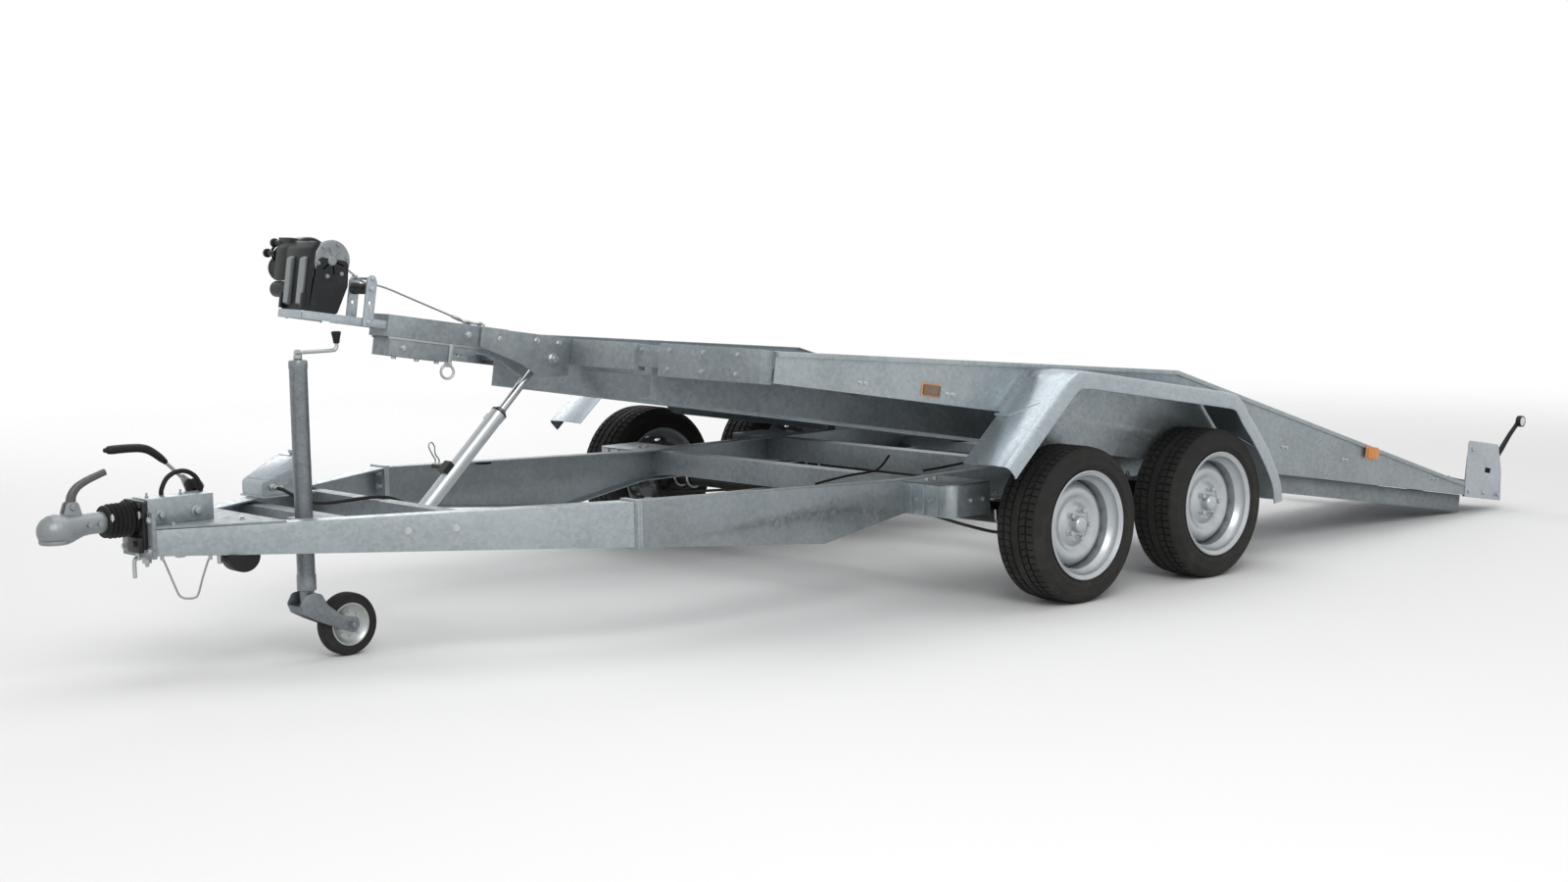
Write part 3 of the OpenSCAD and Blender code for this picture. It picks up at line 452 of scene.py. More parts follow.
def rounded(points, radius, steps=5):
    """Rounds the corners of an outline; radius may be one value or one for each corner."""
    out, n = [], len(points)
    for i, p in enumerate(points):
        r = radius[i] if isinstance(radius, (list, tuple)) else radius
        p, a, b = Vector(p), Vector(points[i - 1]), Vector(points[(i + 1) % n])
        if r <= 0:
            out.append(tuple(p))
            continue
        u, v = (a - p), (b - p)
        cut = min(r / math.tan(max(u.angle(v), 0.05) / 2), u.length * 0.49, v.length * 0.49)
        s, e = p + u.normalized() * cut, p + v.normalized() * cut
        for k in range(steps + 1):
            t = k / steps
            out.append(tuple((1 - t) ** 2 * s + 2 * t * (1 - t) * p + t * t * e))
    return out


def evaluated(obj):
    """Replaces an object's mesh with the one its modifiers make."""
    depsgraph = bpy.context.evaluated_depsgraph_get()
    mesh = bpy.data.meshes.new_from_object(obj.evaluated_get(depsgraph))
    obj.modifiers.clear()
    old, obj.data = obj.data, mesh
    bpy.data.meshes.remove(old)
    return obj


def finish(bm, name, material, body, slot, *nodes, place=CAR, bevel=0.0, segments=2, smooth=32,
           subdivide=0, limit=30):
    """Turns collected forms into one piece that rides on a body and takes the place of CAD nodes."""
    bmesh.ops.remove_doubles(bm, verts=bm.verts, dist=1e-6)
    bmesh.ops.recalc_face_normals(bm, faces=bm.faces)
    mesh = bpy.data.meshes.new(name)
    bm.to_mesh(mesh)
    bm.free()
    mesh.transform(place)
    if place.determinant() < 0:
        mesh.flip_normals()
    obj = bpy.data.objects.new(name, mesh)
    bpy.context.scene.collection.objects.link(obj)
    for m in material if isinstance(material, (list, tuple)) else [material]:
        mesh.materials.append(m)
    return dress(obj, body, nodes, bevel, segments, smooth, subdivide, limit)


def dress(obj, body, nodes=(), bevel=0.0, segments=2, smooth=32, subdivide=0, limit=30):
    if bevel:
        edge = obj.modifiers.new("edges", "BEVEL")
        edge.width, edge.segments, edge.limit_method = bevel, segments, "ANGLE"
        edge.angle_limit = math.radians(limit)
        edge.harden_normals = False
    if subdivide:
        soft = obj.modifiers.new("soft", "SUBSURF")
        soft.levels = soft.render_levels = subdivide
    if bevel or subdivide:
        bpy.context.view_layer.update()
        evaluated(obj)
    obj.data.shade_smooth()
    obj.data.set_sharp_from_angle(angle=math.radians(smooth))
    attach(obj, body)
    if nodes:
        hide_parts(*nodes)
    return obj


def soften(cad_node, material, body, bevel=0.002, name=None, smooth=40):
    """A copy of a CAD node with rolled or worn edges, which stands for the node."""
    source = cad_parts[cad_node]
    bm = bmesh.new()
    bm.from_mesh(source.data)
    bmesh.ops.remove_doubles(bm, verts=bm.verts, dist=1e-5)
    bmesh.ops.dissolve_limit(bm, angle_limit=math.radians(1), verts=bm.verts, edges=bm.edges)
    mesh = bpy.data.meshes.new(name or cad_node + "_steel")
    bm.to_mesh(mesh)
    bm.free()
    if "custom_normal" in mesh.attributes:
        mesh.attributes.remove(mesh.attributes["custom_normal"])
    obj = bpy.data.objects.new(mesh.name, mesh)
    bpy.context.scene.collection.objects.link(obj)
    mesh.materials.clear()
    mesh.materials.append(material)
    return dress(obj, body, [cad_node], bevel, 2, smooth)


def plain(cad_node, material):
    """Gives a CAD node that keeps its shape its real material."""
    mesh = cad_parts[cad_node].data
    mesh.materials.clear()
    mesh.materials.append(material)


# Fasteners, placed by Geometry Nodes

def field(tree, label, kind):
    made = tree.nodes.new("GeometryNodeInputNamedAttribute")
    made.data_type = kind
    made.inputs["Name"].default_value = label
    return made.outputs["Attribute"]


def make_bolt_tree():
    """A hexagon head on a washer at every point, turned to face out and scaled by the point's size."""
    tree = bpy.data.node_groups.new("bolt_heads", "GeometryNodeTree")
    for label, kind, value in (("Places", "Geometry", None), ("Head radius", "Float", 0.5),
                               ("Head height", "Float", 0.35), ("Washer radius", "Float", 0.62),
                               ("Thread radius", "Float", 0.27), ("Material", "Material", None)):
        socket = tree.interface.new_socket(label, in_out="INPUT", socket_type="NodeSocket" + kind)
        if value is not None:
            socket.default_value = value
    tree.interface.new_socket("Bolts", in_out="OUTPUT", socket_type="NodeSocketGeometry")
    start, end = tree.nodes.new("NodeGroupInput"), tree.nodes.new("NodeGroupOutput")
    joined = tree.nodes.new("GeometryNodeJoinGeometry")

    def drum(sides, radius, height, lift):
        made = tree.nodes.new("GeometryNodeMeshCylinder")
        made.inputs["Vertices"].default_value = sides
        tree.links.new(start.outputs[radius], made.inputs["Radius"])
        if isinstance(height, str):
            tree.links.new(start.outputs[height], made.inputs["Depth"])
        else:
            made.inputs["Depth"].default_value = height
        moved = tree.nodes.new("GeometryNodeTransform")
        moved.inputs["Translation"].default_value = (0, 0, lift)
        tree.links.new(made.outputs["Mesh"], moved.inputs["Geometry"])
        tree.links.new(moved.outputs["Geometry"], joined.inputs[0])

    drum(18, "Washer radius", 0.08, 0.04)
    drum(6, "Head radius", "Head height", 0.255)
    drum(12, "Thread radius", 0.12, 0.48)
    facing = tree.nodes.new("FunctionNodeAlignRotationToVector")
    facing.axis = "Z"
    tree.links.new(field(tree, "facing", "FLOAT_VECTOR"), facing.inputs["Vector"])
    spread = tree.nodes.new("GeometryNodeInstanceOnPoints")
    tree.links.new(start.outputs["Places"], spread.inputs["Points"])
    tree.links.new(joined.outputs[0], spread.inputs["Instance"])
    tree.links.new(facing.outputs["Rotation"], spread.inputs["Rotation"])
    tree.links.new(field(tree, "size", "FLOAT"), spread.inputs["Scale"])
    real = tree.nodes.new("GeometryNodeRealizeInstances")
    coat = tree.nodes.new("GeometryNodeSetMaterial")
    tree.links.new(spread.outputs["Instances"], real.inputs["Geometry"])
    tree.links.new(real.outputs["Geometry"], coat.inputs["Geometry"])
    tree.links.new(start.outputs["Material"], coat.inputs["Material"])
    tree.links.new(coat.outputs["Geometry"], end.inputs["Bolts"])
    return tree


BOLT_TREE = make_bolt_tree()


def inputs_of(tree):
    return {item.name: item.identifier for item in tree.interface.items_tree if item.in_out == "INPUT"}


def bolts(name, body, slot, places, material=BOLT_STEEL, place=CAR, **values):
    """places is a list of (point, facing, size), with size the head's width in metres."""
    mesh = bpy.data.meshes.new(name)
    mesh.from_pydata([place @ Vector(p) for p, _, _ in places], [], [])
    turn = place.to_3x3()
    facing = mesh.attributes.new("facing", "FLOAT_VECTOR", "POINT")
    facing.data.foreach_set("vector", [c for _, f, _ in places for c in (turn @ Vector(f))])
    size = mesh.attributes.new("size", "FLOAT", "POINT")
    size.data.foreach_set("value", [s for _, _, s in places])
    obj = bpy.data.objects.new(name, mesh)
    bpy.context.scene.collection.objects.link(obj)
    mod = obj.modifiers.new("bolts", "NODES")
    mod.node_group = BOLT_TREE
    ids = inputs_of(BOLT_TREE)
    mod[ids["Material"]] = material
    for key, value in values.items():
        mod[ids[key.replace("_", " ")]] = value
    bpy.context.view_layer.update()
    evaluated(obj)
    return dress(obj, body, smooth=30)


SIDES = ((-1, "left"), (1, "right"))


MIRROR = Matrix.Scale(-1, 4, (0, 1, 0))
LAID = Matrix(((1, 0, 0, 0), (0, 0, 1, 0), (0, 1, 0, 0), (0, 0, 0, 1)))

# The drawbar's arms, as functions of x
ARM_TURN = math.atan(0.626 / 1.260)
ARM_LEN = 1.260 / math.cos(ARM_TURN)


def arm_top(x):
    return 0.449 + ((x + 3.140) / math.cos(ARM_TURN) + 0.060) * 0.008 / (ARM_LEN + 0.120)


def arm_low(x):
    return arm_top(x) - 0.073 - ((x + 3.140) / math.cos(ARM_TURN) + 0.060) * 0.069 / (ARM_LEN + 0.120)


def arm_y(x):
    """The outer face of a drawbar arm."""
    return 0.084 + (x + 3.140) * math.tan(ARM_TURN)


def paint(bm, start, index):
    """Gives the faces made since start another of the piece's materials."""
    bm.faces.ensure_lookup_table()
    for face in bm.faces[start:]:
        face.material_index = index
    return len(bm.faces)


def ring(bm, middle, radius, wire, axis=(0, 1, 0), place=None, sides=12, steps=40):
    """A closed ring of round wire."""
    profile = [(radius + wire * math.cos(a), wire * math.sin(a))
               for a in (2 * math.pi * i / sides for i in range(sides))]
    turned(bm, profile + [profile[0]], middle, axis, steps, place)


def hexagon(bm, foot, axis, width, height, place=None):
    """A chamfered hexagon head or nut on its washer."""
    r = width / math.sqrt(3)
    turned(bm, [(0, 0), (r * 1.16, 0), (r * 1.16, width * 0.09), (0, width * 0.09)], foot, axis, 20, place)
    turned(bm, [(0, width * 0.09), (r, width * 0.09), (r, height * 0.86), (r * 0.84, height), (0, height)],
           foot, axis, 6, place)


def carve(bm, cutter):
    """Takes the cutter's form out of bm and returns the rest as a new bmesh."""
    made = []
    for form in (bm, cutter):
        bmesh.ops.recalc_face_normals(form, faces=form.faces)
        mesh = bpy.data.meshes.new("carved")
        form.to_mesh(mesh)
        form.free()
        made.append(bpy.data.objects.new("carved", mesh))
        bpy.context.scene.collection.objects.link(made[-1])
    mod = made[0].modifiers.new("cut", "BOOLEAN")
    mod.operation, mod.object, mod.solver = "DIFFERENCE", made[1], "EXACT"
    bpy.context.view_layer.update()
    evaluated(made[0])
    out = bmesh.new()
    out.from_mesh(made[0].data)
    for obj in made:
        bpy.data.objects.remove(obj)
    return out


# Free cords: the brake cable's loop and the wire that hangs under the near arm

def cords():
    loop = [(-3.061, 0.020, 0.5345), (-3.058, 0.020, 0.553), (-3.041, 0.020, 0.581), (-3.012, 0.020, 0.5965),
            (-2.978, 0.020, 0.596), (-2.949, 0.020, 0.578), (-2.935, 0.020, 0.552), (-2.933, 0.020, 0.5345)]
    under = [(0.022, None), (0.034, 0.333), (0.054, 0.271), (0.061, 0.254), (0.072, 0.2455), (0.087, 0.2435),
             (0.101, 0.2460), (0.109, 0.258), (0.120, 0.299), (0.134, 0.344), (0.142, None)]
    wire = [(-3.140 + dx, 0.020 - arm_y(-3.140 + dx), arm_low(-3.140 + dx) - 0.0032 if z is None else z)
            for dx, z in under]
    for name, route, radius, cloth, slot, nodes, stiff in (
            ("brake_cable_loop", loop, 0.007, RUBBER, "black_rubber", "brake_cable", "stiff"),
            ("hanging_wire", wire, 0.003, WIRE, "wire", "safety_wire", "stiff")):
        bm = bmesh.new()
        line = smooth_line(route, 8)
        bar(bm, line, radius, 16, uv=(4, 120), steps=1)
        piece = finish(bm, name, cloth, "chassis", slot, nodes, smooth=60)


cords()


# Coupling and hand brake

def coupling():
    bm = bmesh.new()
    line = [(-3.4532, 0, 0.466), (-3.4515, 0, 0.466), (-3.446, 0, 0.4662), (-3.434, 0, 0.4666),
            (-3.418, 0, 0.467), (-3.398, 0, 0.468), (-3.375, 0, 0.470), (-3.350, 0, 0.4735), (-3.325, 0, 0.477),
            (-3.300, 0, 0.478), (-3.272, 0, 0.478), (-3.250, 0, 0.478)]
    size = [0.004, 0.013, 0.026, 0.038, 0.0455, 0.048, 0.0455, 0.0385, 0.033, 0.031, 0.031, 0.031]
    bar(bm, line, size, 40, steps=4)
    cut = bmesh.new()
    turned(cut, [(0, 0), (0.030, 0), (0.0258, 0.014), (0.0254, 0.032), (0.0225, 0.044), (0.016, 0.053),
                 (0.008, 0.0565), (0, 0.057)], (-3.405, 0, 0.412), sides=40)
    block(cut, -3.50, -3.34, -0.1, 0.1, 0.38, 0.432)
    bm = carve(bm, cut)
    # Strengthened lip of the socket and the clamping bolts of the neck
    turned(bm, [(0.0335, 0.0), (0.0405, 0.0), (0.0435, 0.004), (0.0435, 0.012), (0.0335, 0.012), (0.0335, 0.0)],
           (-3.405, 0, 0.4315), sides=40)
    for x in (-3.312, -3.281):
        rod(bm, (x, -0.034, 0.478), (x, 0.034, 0.478), 0.0055, 16)
        for s in (-1, 1):
            hexagon(bm, (x, s * 0.0305, 0.478), (0, s, 0), 0.016, 0.010)
    for s in (-1, 1):
        y0, y1 = sorted((s * 0.010, s * 0.015))
        plate(bm, rounded([(-3.384, 0.499), (-3.322, 0.499), (-3.336, 0.546), (-3.368, 0.546)], 0.012), y0, y1)
        turned(bm, [(0, 0), (0.0095, 0), (0.0095, 0.002), (0.007, 0.005), (0, 0.005)],
               (-3.352, s * 0.0155, 0.531), (0, s, 0), 20)
    rod(bm, (-3.352, -0.0155, 0.531), (-3.352, 0.0155, 0.531), 0.0058, 20)
    # Shaft
    rod(bm, (-3.300, 0, 0.478), (-3.090, 0, 0.478), 0.0249, 40)
    finish(bm, "cast_coupling", CAST_GREY, "coupling", "cast_metal", "coupling_head", bevel=0.0012, smooth=35)

    bm = bmesh.new()
    line = smooth_line([(-3.352, 0, 0.527), (-3.3515, 0, 0.545), (-3.346, 0, 0.566), (-3.330, 0, 0.585),
                        (-3.303, 0, 0.600), (-3.270, 0, 0.612), (-3.243, 0, 0.621)], 6)

    def grip(t):
        w, h = 0.0088 + 0.004 * (1 - t) ** 2, 0.0095 + 0.0060 * (1 - t) ** 2
        return [(w * math.copysign(abs(math.cos(a)) ** 0.6, math.cos(a)),
                 h * math.copysign(abs(math.sin(a)) ** 0.6, math.sin(a)))
                for a in (2 * math.pi * i / 24 for i in range(24))]
    swept(bm, line, grip)
    turned(bm, [(0, -0.009), (0.0122, -0.009), (0.0122, 0.009), (0, 0.009)], (-3.352, 0, 0.531), (0, 1, 0), 32)
    finish(bm, "coupling_handle", CAST_DARK, "coupling_lever", "cast_metal", "coupling_lever", bevel=0.0008,
           smooth=40)

    # Flange, housing with its bolts, and the hand brake's toothed quadrant
    bm = bmesh.new()
    flange = rounded([(0.392, -0.062), (0.392, 0.010), (0.432, 0.014), (0.440, 0.054), (0.532, 0.054),
                      (0.532, -0.062)], [0.006, 0.006, 0.008, 0.016, 0.016, 0.016])
    turn = Matrix(((0, 1, 0, 0), (0, 0, 1, 0), (1, 0, 0, 0), (0, 0, 0, 1)))
    plate(bm, flange, -3.1655, -3.1524, [circle(0.478, 0, 0.026, 32)], turn)
    block(bm, -3.1800, -3.1650, -0.060, 0.006, 0.384, 0.428)
    for y, z in ((-0.050, 0.519), (0.042, 0.519), (0.042, 0.452)):
        hexagon(bm, (-3.1655, y, z), (-1, 0, 0), 0.015, 0.010)
    hexagon(bm, (-3.1800, -0.040, 0.410), (-1, 0, 0), 0.015, 0.010)
    # Bracket of the hand brake with its low toothed quadrant
    plate(bm, rounded([(-2.962, 0.458), (-2.912, 0.458), (-2.912, 0.560), (-2.962, 0.560)], 0.008), 0.050, 0.058)
    block(bm, -2.962, -2.912, 0.044, 0.056, 0.458, 0.466)
    teeth = []
    for i in range(25):
        a = math.radians(10 + i * 5)
        r = 0.036 if i % 2 else 0.032
        teeth.append((-2.937 + r * math.cos(a), 0.534 + r * math.sin(a)))
    plate(bm, teeth + [(-2.958, 0.520), (-2.914, 0.520)], 0.0505, 0.0555)
    dark = len(bm.faces)
    block(bm, -3.1398, -2.930, -0.045, 0.045, 0.4580, 0.534)
    for x in (-3.100, -2.985):
        for s in (-1, 1):
            turned(bm, [(0, 0), (0.019, 0), (0.019, 0.003), (0, 0.003)], (x, s * 0.0445, 0.486), (0, s, 0), 28)
            hexagon(bm, (x, s * 0.0475, 0.486), (0, s, 0), 0.019, 0.012)
    for x in (-3.118, -3.010):
        turned(bm, [(0, 0), (0.005, 0), (0.005, 0.004), (0.0028, 0.006), (0.0028, 0.009), (0.0036, 0.012),
                    (0.002, 0.015), (0, 0.015)], (x, 0, 0.5335), sides=12)
    rod(bm, (-2.937, 0.050, 0.534), (-2.937, 0.078, 0.534), 0.0069, 20)
    hexagon(bm, (-2.937, 0.0735, 0.534), (0, 1, 0), 0.017, 0.008)
    paint(bm, dark, 1)
    finish(bm, "coupling_mount", [BLACK_PAINT, ZINC], "chassis", "galvanised", "coupling_housing",
           bevel=0.0022, smooth=35)

    # Bellows with a band at both ends
    bm = bmesh.new()
    folds = [(0.0400, -3.2580), (0.0445, -3.2580), (0.0455, -3.2565), (0.0455, -3.2480)]
    start, stop, count = -3.246, -3.176, 5
    for i in range(count * 8 + 1):
        t = i / (count * 8)
        folds.append((0.0455 + 0.0045 * math.sin(2 * math.pi * count * t - 0.5 * math.pi) + 0.0012 * t,
                      start + (stop - start) * t))
    folds += [(0.0475, -3.1745), (0.0475, -3.1668), (0.0460, -3.1664), (0.0400, -3.1664)]
    inside = [(0.0385, -3.1664), (0.0385, -3.2520), (0.0325, -3.2522), (0.0325, -3.2580)]
    turned(bm, folds + inside + [folds[0]], (0, 0, 0.478), (1, 0, 0), 48)
    bands = ((-3.2522, 0.0458), (-3.1706, 0.0478))
    for x, r in bands:
        turned(bm, [(r - 0.001, -0.0030), (r + 0.0007, -0.0030), (r + 0.0007, 0.0030), (r - 0.001, 0.0030),
                    (r - 0.001, -0.0030)], (x, 0, 0.478), (1, 0, 0), 48)
    rubber = len(bm.faces)
    for x, r in bands:
        block(bm, x - 0.004, x + 0.004, -r - 0.006, -r + 0.001, 0.486, 0.500)
        rod(bm, (x, -r - 0.003, 0.482), (x, -r - 0.003, 0.504), 0.0024, 10)
    paint(bm, rubber, 1)
    gaiter = finish(bm, "gaiter", [RUBBER, BOLT_STEEL], "chassis", "black_rubber", "bellows", smooth=50)
    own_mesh(gaiter)

    # Hand brake: a bare bar with a long moulded grip
    bm = bmesh.new()
    bar(bm, [(-2.937, 0.066, 0.540), (-2.962, 0.066, 0.568), (-3.000, 0.066, 0.6055), (-3.028, 0.066, 0.632)],
        0.0055, 14, steps=4)
    plate(bm, rounded([(-2.954, 0.522), (-2.920, 0.520), (-2.920, 0.548), (-2.966, 0.585), (-2.976, 0.578)],
                      0.009), 0.0600, 0.0655)
    turned(bm, [(0, -0.005), (0.013, -0.005), (0.013, 0.005), (0, 0.005)], (-2.937, 0.066, 0.534), (0, 1, 0), 24)
    bare = len(bm.faces)
    line = [(-3.0155, 0.066, 0.6215), (-3.030, 0.066, 0.634), (-3.052, 0.066, 0.6515), (-3.074, 0.066, 0.6645),
            (-3.100, 0.066, 0.6712), (-3.140, 0.066, 0.6735), (-3.180, 0.066, 0.6735), (-3.196, 0.066, 0.6735),
            (-3.2065, 0.066, 0.6735)]
    bar(bm, line, [0.0075, 0.0108, 0.0118, 0.0125, 0.0125, 0.0128, 0.0132, 0.0120, 0.0050], 20, steps=5)
    turned(bm, [(0.003, 0.0), (0.006, 0.001), (0.007, 0.004), (0, 0.004)], (-3.2105, 0.066, 0.6735), (1, 0, 0), 16)
    paint(bm, bare, 1)
    finish(bm, "hand_brake", [PLATED, PLASTIC], "handbrake", "black_grip", "handbrake_lever", smooth=45)

    # Brake rod's guide, pins and lug in front, and the black guard under the near arm
    bm = bmesh.new()
    rod(bm, (-3.152, 0, 0.3845), (-3.152, 0, 0.356), 0.0075, 16)
    bar(bm, [(-3.166, 0, 0.305), (-3.166, 0, 0.330), (-3.1655, 0, 0.352), (-3.160, 0, 0.3615), (-3.150, 0, 0.363),
             (-3.140, 0, 0.3625), (-3.133, 0, 0.358), (-3.126, 0, 0.350)], 0.0062, 12, steps=5)
    block(bm, -3.150, -3.102, -0.012, 0.012, 0.3585, 0.3665)
    hexagon(bm, (-3.126, 0, 0.3590), (0, 0, -1), 0.024, 0.016)
    rod(bm, (-3.126, 0, 0.345), (-3.126, 0, 0.333), 0.006, 14)
    for dx in (0.022, 0.142):
        x = -3.140 + dx
        rod(bm, (x, 0.020 - arm_y(x), arm_low(x) + 0.001), (x, 0.020 - arm_y(x), arm_low(x) - 0.014), 0.0055, 12)
    rod(bm, (-2.975, 0.02 - arm_y(-2.975), arm_low(-2.975)), (-2.975, 0.02 - arm_y(-2.975), 0.340), 0.007, 12)
    finish(bm, "brake_rod_parts", PLATED, "chassis", "cast_metal", bevel=0.0006, smooth=40)
    bm = bmesh.new()
    half = [(-2.916 + 0.050 * math.cos(a), 0.357 + 0.045 * math.sin(a))
            for a in (math.pi * (1 + i / 20) for i in range(21))]
    top = arm_low(-2.916) - 0.0004
    plate(bm, half + [(-2.867, top), (-2.965, top)], 0.006 - arm_y(-2.916), 0.056 - arm_y(-2.916))
    finish(bm, "arm_guard", PLASTIC, "chassis", "black_grip", bevel=0.003, smooth=40)


coupling()


# Pump box on the far arm

def pump():
    bm = bmesh.new()
    outline = [(-2.579, arm_top(-2.579) + 0.0004), (-2.399, arm_top(-2.399) + 0.0004), (-2.399, 0.571),
               (-2.454, 0.571), (-2.569, 0.508), (-2.579, 0.498)]
    plate(bm, rounded(outline, [0.001, 0.001, 0.014, 0.020, 0.008, 0.008]), 0.276, 0.394)
    for x in (-2.579, -2.399):
        block(bm, x - 0.004, x + 0.004, 0.268, 0.402, arm_top(x) + 0.0003, arm_top(x) + 0.006)
    block(bm, -2.584, -2.394, 0.266, 0.2765, 0.4530, 0.4570)
    lid = [(-2.4597, 0.5696), (-2.5667, 0.5109), (-2.5646, 0.5070), (-2.4576, 0.5657)]
    plate(bm, lid, 0.284, 0.386)
    block(bm, -2.450, -2.404, 0.284, 0.386, 0.5705, 0.5735)
    pale = len(bm.faces)
    turned(bm, [(0, 0), (0.009, 0), (0.009, 0.004), (0.013, 0.006), (0.0135, 0.014), (0.010, 0.0175), (0, 0.018)],
           (-2.430, 0.335, 0.5730), sides=24)
    rod(bm, (-2.545, 0.2755, 0.484), (-2.545, 0.262, 0.484), 0.012, 20)
    rod(bm, (-2.545, 0.262, 0.484), (-2.545, 0.240, 0.484), 0.0085, 6)
    for x in (-2.510, -2.430):
        hexagon(bm, (x, 0.2755, 0.480), (0, -1, 0), 0.012, 0.007)
    paint(bm, pale, 1)
    finish(bm, "pump_cover", [ZINC_SHEET, PLATED], "chassis", "galvanised", "pump_box", bevel=0.0015, smooth=35)
    # Hose from the pump to the foot of the ram
    bm = bmesh.new()
    bar(bm, [(-2.545, 0.242, 0.484), (-2.545, 0.205, 0.482), (-2.540, 0.155, 0.468), (-2.515, 0.112, 0.450),
             (-2.465, 0.086, 0.444), (-2.400, 0.072, 0.446), (-2.325, 0.066, 0.448), (-2.270, 0.056, 0.444),
             (-2.215, 0.046, 0.424), (-2.178, 0.036, 0.405)], 0.0058, 12, steps=8)
    finish(bm, "ram_hose", RUBBER, "chassis", "black_rubber", smooth=60)


pump()


# Jockey wheel

def jockey():
    x, y = -2.658, -0.092
    spot = CAR @ Matrix.Translation((x, y, 0))
    bm = bmesh.new()
    turned(bm, [(0.0275, 0.2155), (0.0290, 0.217), (0.0290, 0.262), (0.0270, 0.266), (0.0270, 0.880),
                (0.0282, 0.882), (0.0282, 0.9005), (0.0258, 0.9060), (0.0130, 0.9095), (0.0058, 0.9098),
                (0.0058, 0.8960), (0.0224, 0.8920), (0.0224, 0.2155), (0.0275, 0.2155)], sides=48)
    finish(bm, "jockey_outer_tube", TUBE_STEEL, "chassis", "galvanised", "jockey_tube", place=spot, smooth=35)
    bm = bmesh.new()
    shell = rounded([(-0.040, -0.042), (0.0357, -0.042), (0.0357, 0.042), (-0.040, 0.042)],
                    [0.018, 0.004, 0.004, 0.018])
    plate(bm, shell, 0.376, 0.436, [circle(0, 0, 0.0276, 40)], LAID)
    for s in (-1, 1):
        for z in (0.390, 0.422):
            hexagon(bm, (0.010, s * 0.0415, z), (0, s, 0), 0.015, 0.010)
    rod(bm, (-0.039, 0, 0.406), (-0.072, 0, 0.406), 0.0065, 16)
    rod(bm, (-0.066, -0.040, 0.406), (-0.066, 0.040, 0.406), 0.0055, 16)
    finish(bm, "jockey_clamp", ZINC_DULL, "chassis", "galvanised", place=spot, bevel=0.0015, smooth=35)

    bm = bmesh.new()
    turned(bm, [(0.0219, 0.1752), (0.0219, 0.870), (0.0172, 0.870), (0.0172, 0.1950), (0, 0.1950), (0, 0.1752),
                (0.0219, 0.1752)], sides=40)
    finish(bm, "jockey_inner_tube", TUBE_STEEL, "jockey_leg", "galvanised", "jockey_leg", place=spot, smooth=35)

    bm = bmesh.new()
    turned(bm, [(0, 0.1525), (0.0280, 0.1525), (0.0280, 0.1735), (0.0265, 0.1748), (0, 0.1748)], sides=36)
    cheek = rounded([(-0.047, 0.176), (-0.030, 0.206), (0.004, 0.2115), (0.028, 0.203), (0.048, 0.168),
                     (0.096, 0.130), (0.152, 0.118), (0.157, 0.088), (0.135, 0.072), (0.112, 0.080),
                     (0.055, 0.104), (0.006, 0.126), (-0.034, 0.148)], 0.014)
    for s in (-1, 1):
        y0, y1 = sorted((s * 0.034, s * 0.0385))
        plate(bm, cheek, y0, y1, [circle(0.135, 0.096, 0.008, 20)])
        hexagon(bm, (0.135, s * 0.0385, 0.096), (0, s, 0), 0.020, 0.011)
    block(bm, -0.034, 0.036, -0.0345, 0.0345, 0.1535, 0.1595)
    back_wall = [(-0.0465, 0.172), (-0.034, 0.149), (-0.0305, 0.151), (-0.0430, 0.174)]
    plate(bm, back_wall, -0.0345, 0.0345)
    rod(bm, (0.135, -0.041, 0.096), (0.135, 0.041, 0.096), 0.0079, 20)
    finish(bm, "jockey_fork_plates", TUBE_STEEL, "jockey_fork", "galvanised", "jockey_fork", place=spot,
           bevel=0.0012, smooth=35)

    bm = bmesh.new()
    turned(bm, [(0.0665, -0.024), (0.084, -0.0255), (0.0915, -0.022), (0.0955, -0.014), (0.0960, 0.0),
                (0.0955, 0.014), (0.0915, 0.022), (0.084, 0.0255), (0.0665, 0.024), (0.0640, 0.020),
                (0.0640, -0.020), (0.0665, -0.024)], axis=(0, 1, 0), sides=64)
    tread = len(bm.faces)
    disc = [(0.0082, -0.0270), (0.019, -0.0270), (0.0205, -0.0250), (0.0215, -0.014), (0.030, -0.0115),
            (0.046, -0.0125), (0.056, -0.0185), (0.0615, -0.0225), (0.0655, -0.0225), (0.0655, -0.0200),
            (0.0625, -0.0190), (0.0600, 0.0)]
    turned(bm, disc + [(r, -z) for r, z in reversed(disc[:-1])] + [disc[0]], axis=(0, 1, 0), sides=56)
    for i in range(8):
        a = 2 * math.pi * i / 8
        for s in (-1, 1):
            foot = Vector((0.040 * math.cos(a), s * 0.0118, 0.040 * math.sin(a)))
            turned(bm, [(0, 0), (0.0055, 0), (0.0042, 0.0022), (0, 0.0024)], foot, (0, s, 0), 12)
    paint(bm, tread, 1)
    finish(bm, "jockey_roller", [TYRE_RUBBER, PLATED], "jockey_wheel", "tyre", "jockey_wheel",
           place=spot @ Matrix.Translation((0.135, 0, 0.096)), smooth=35)

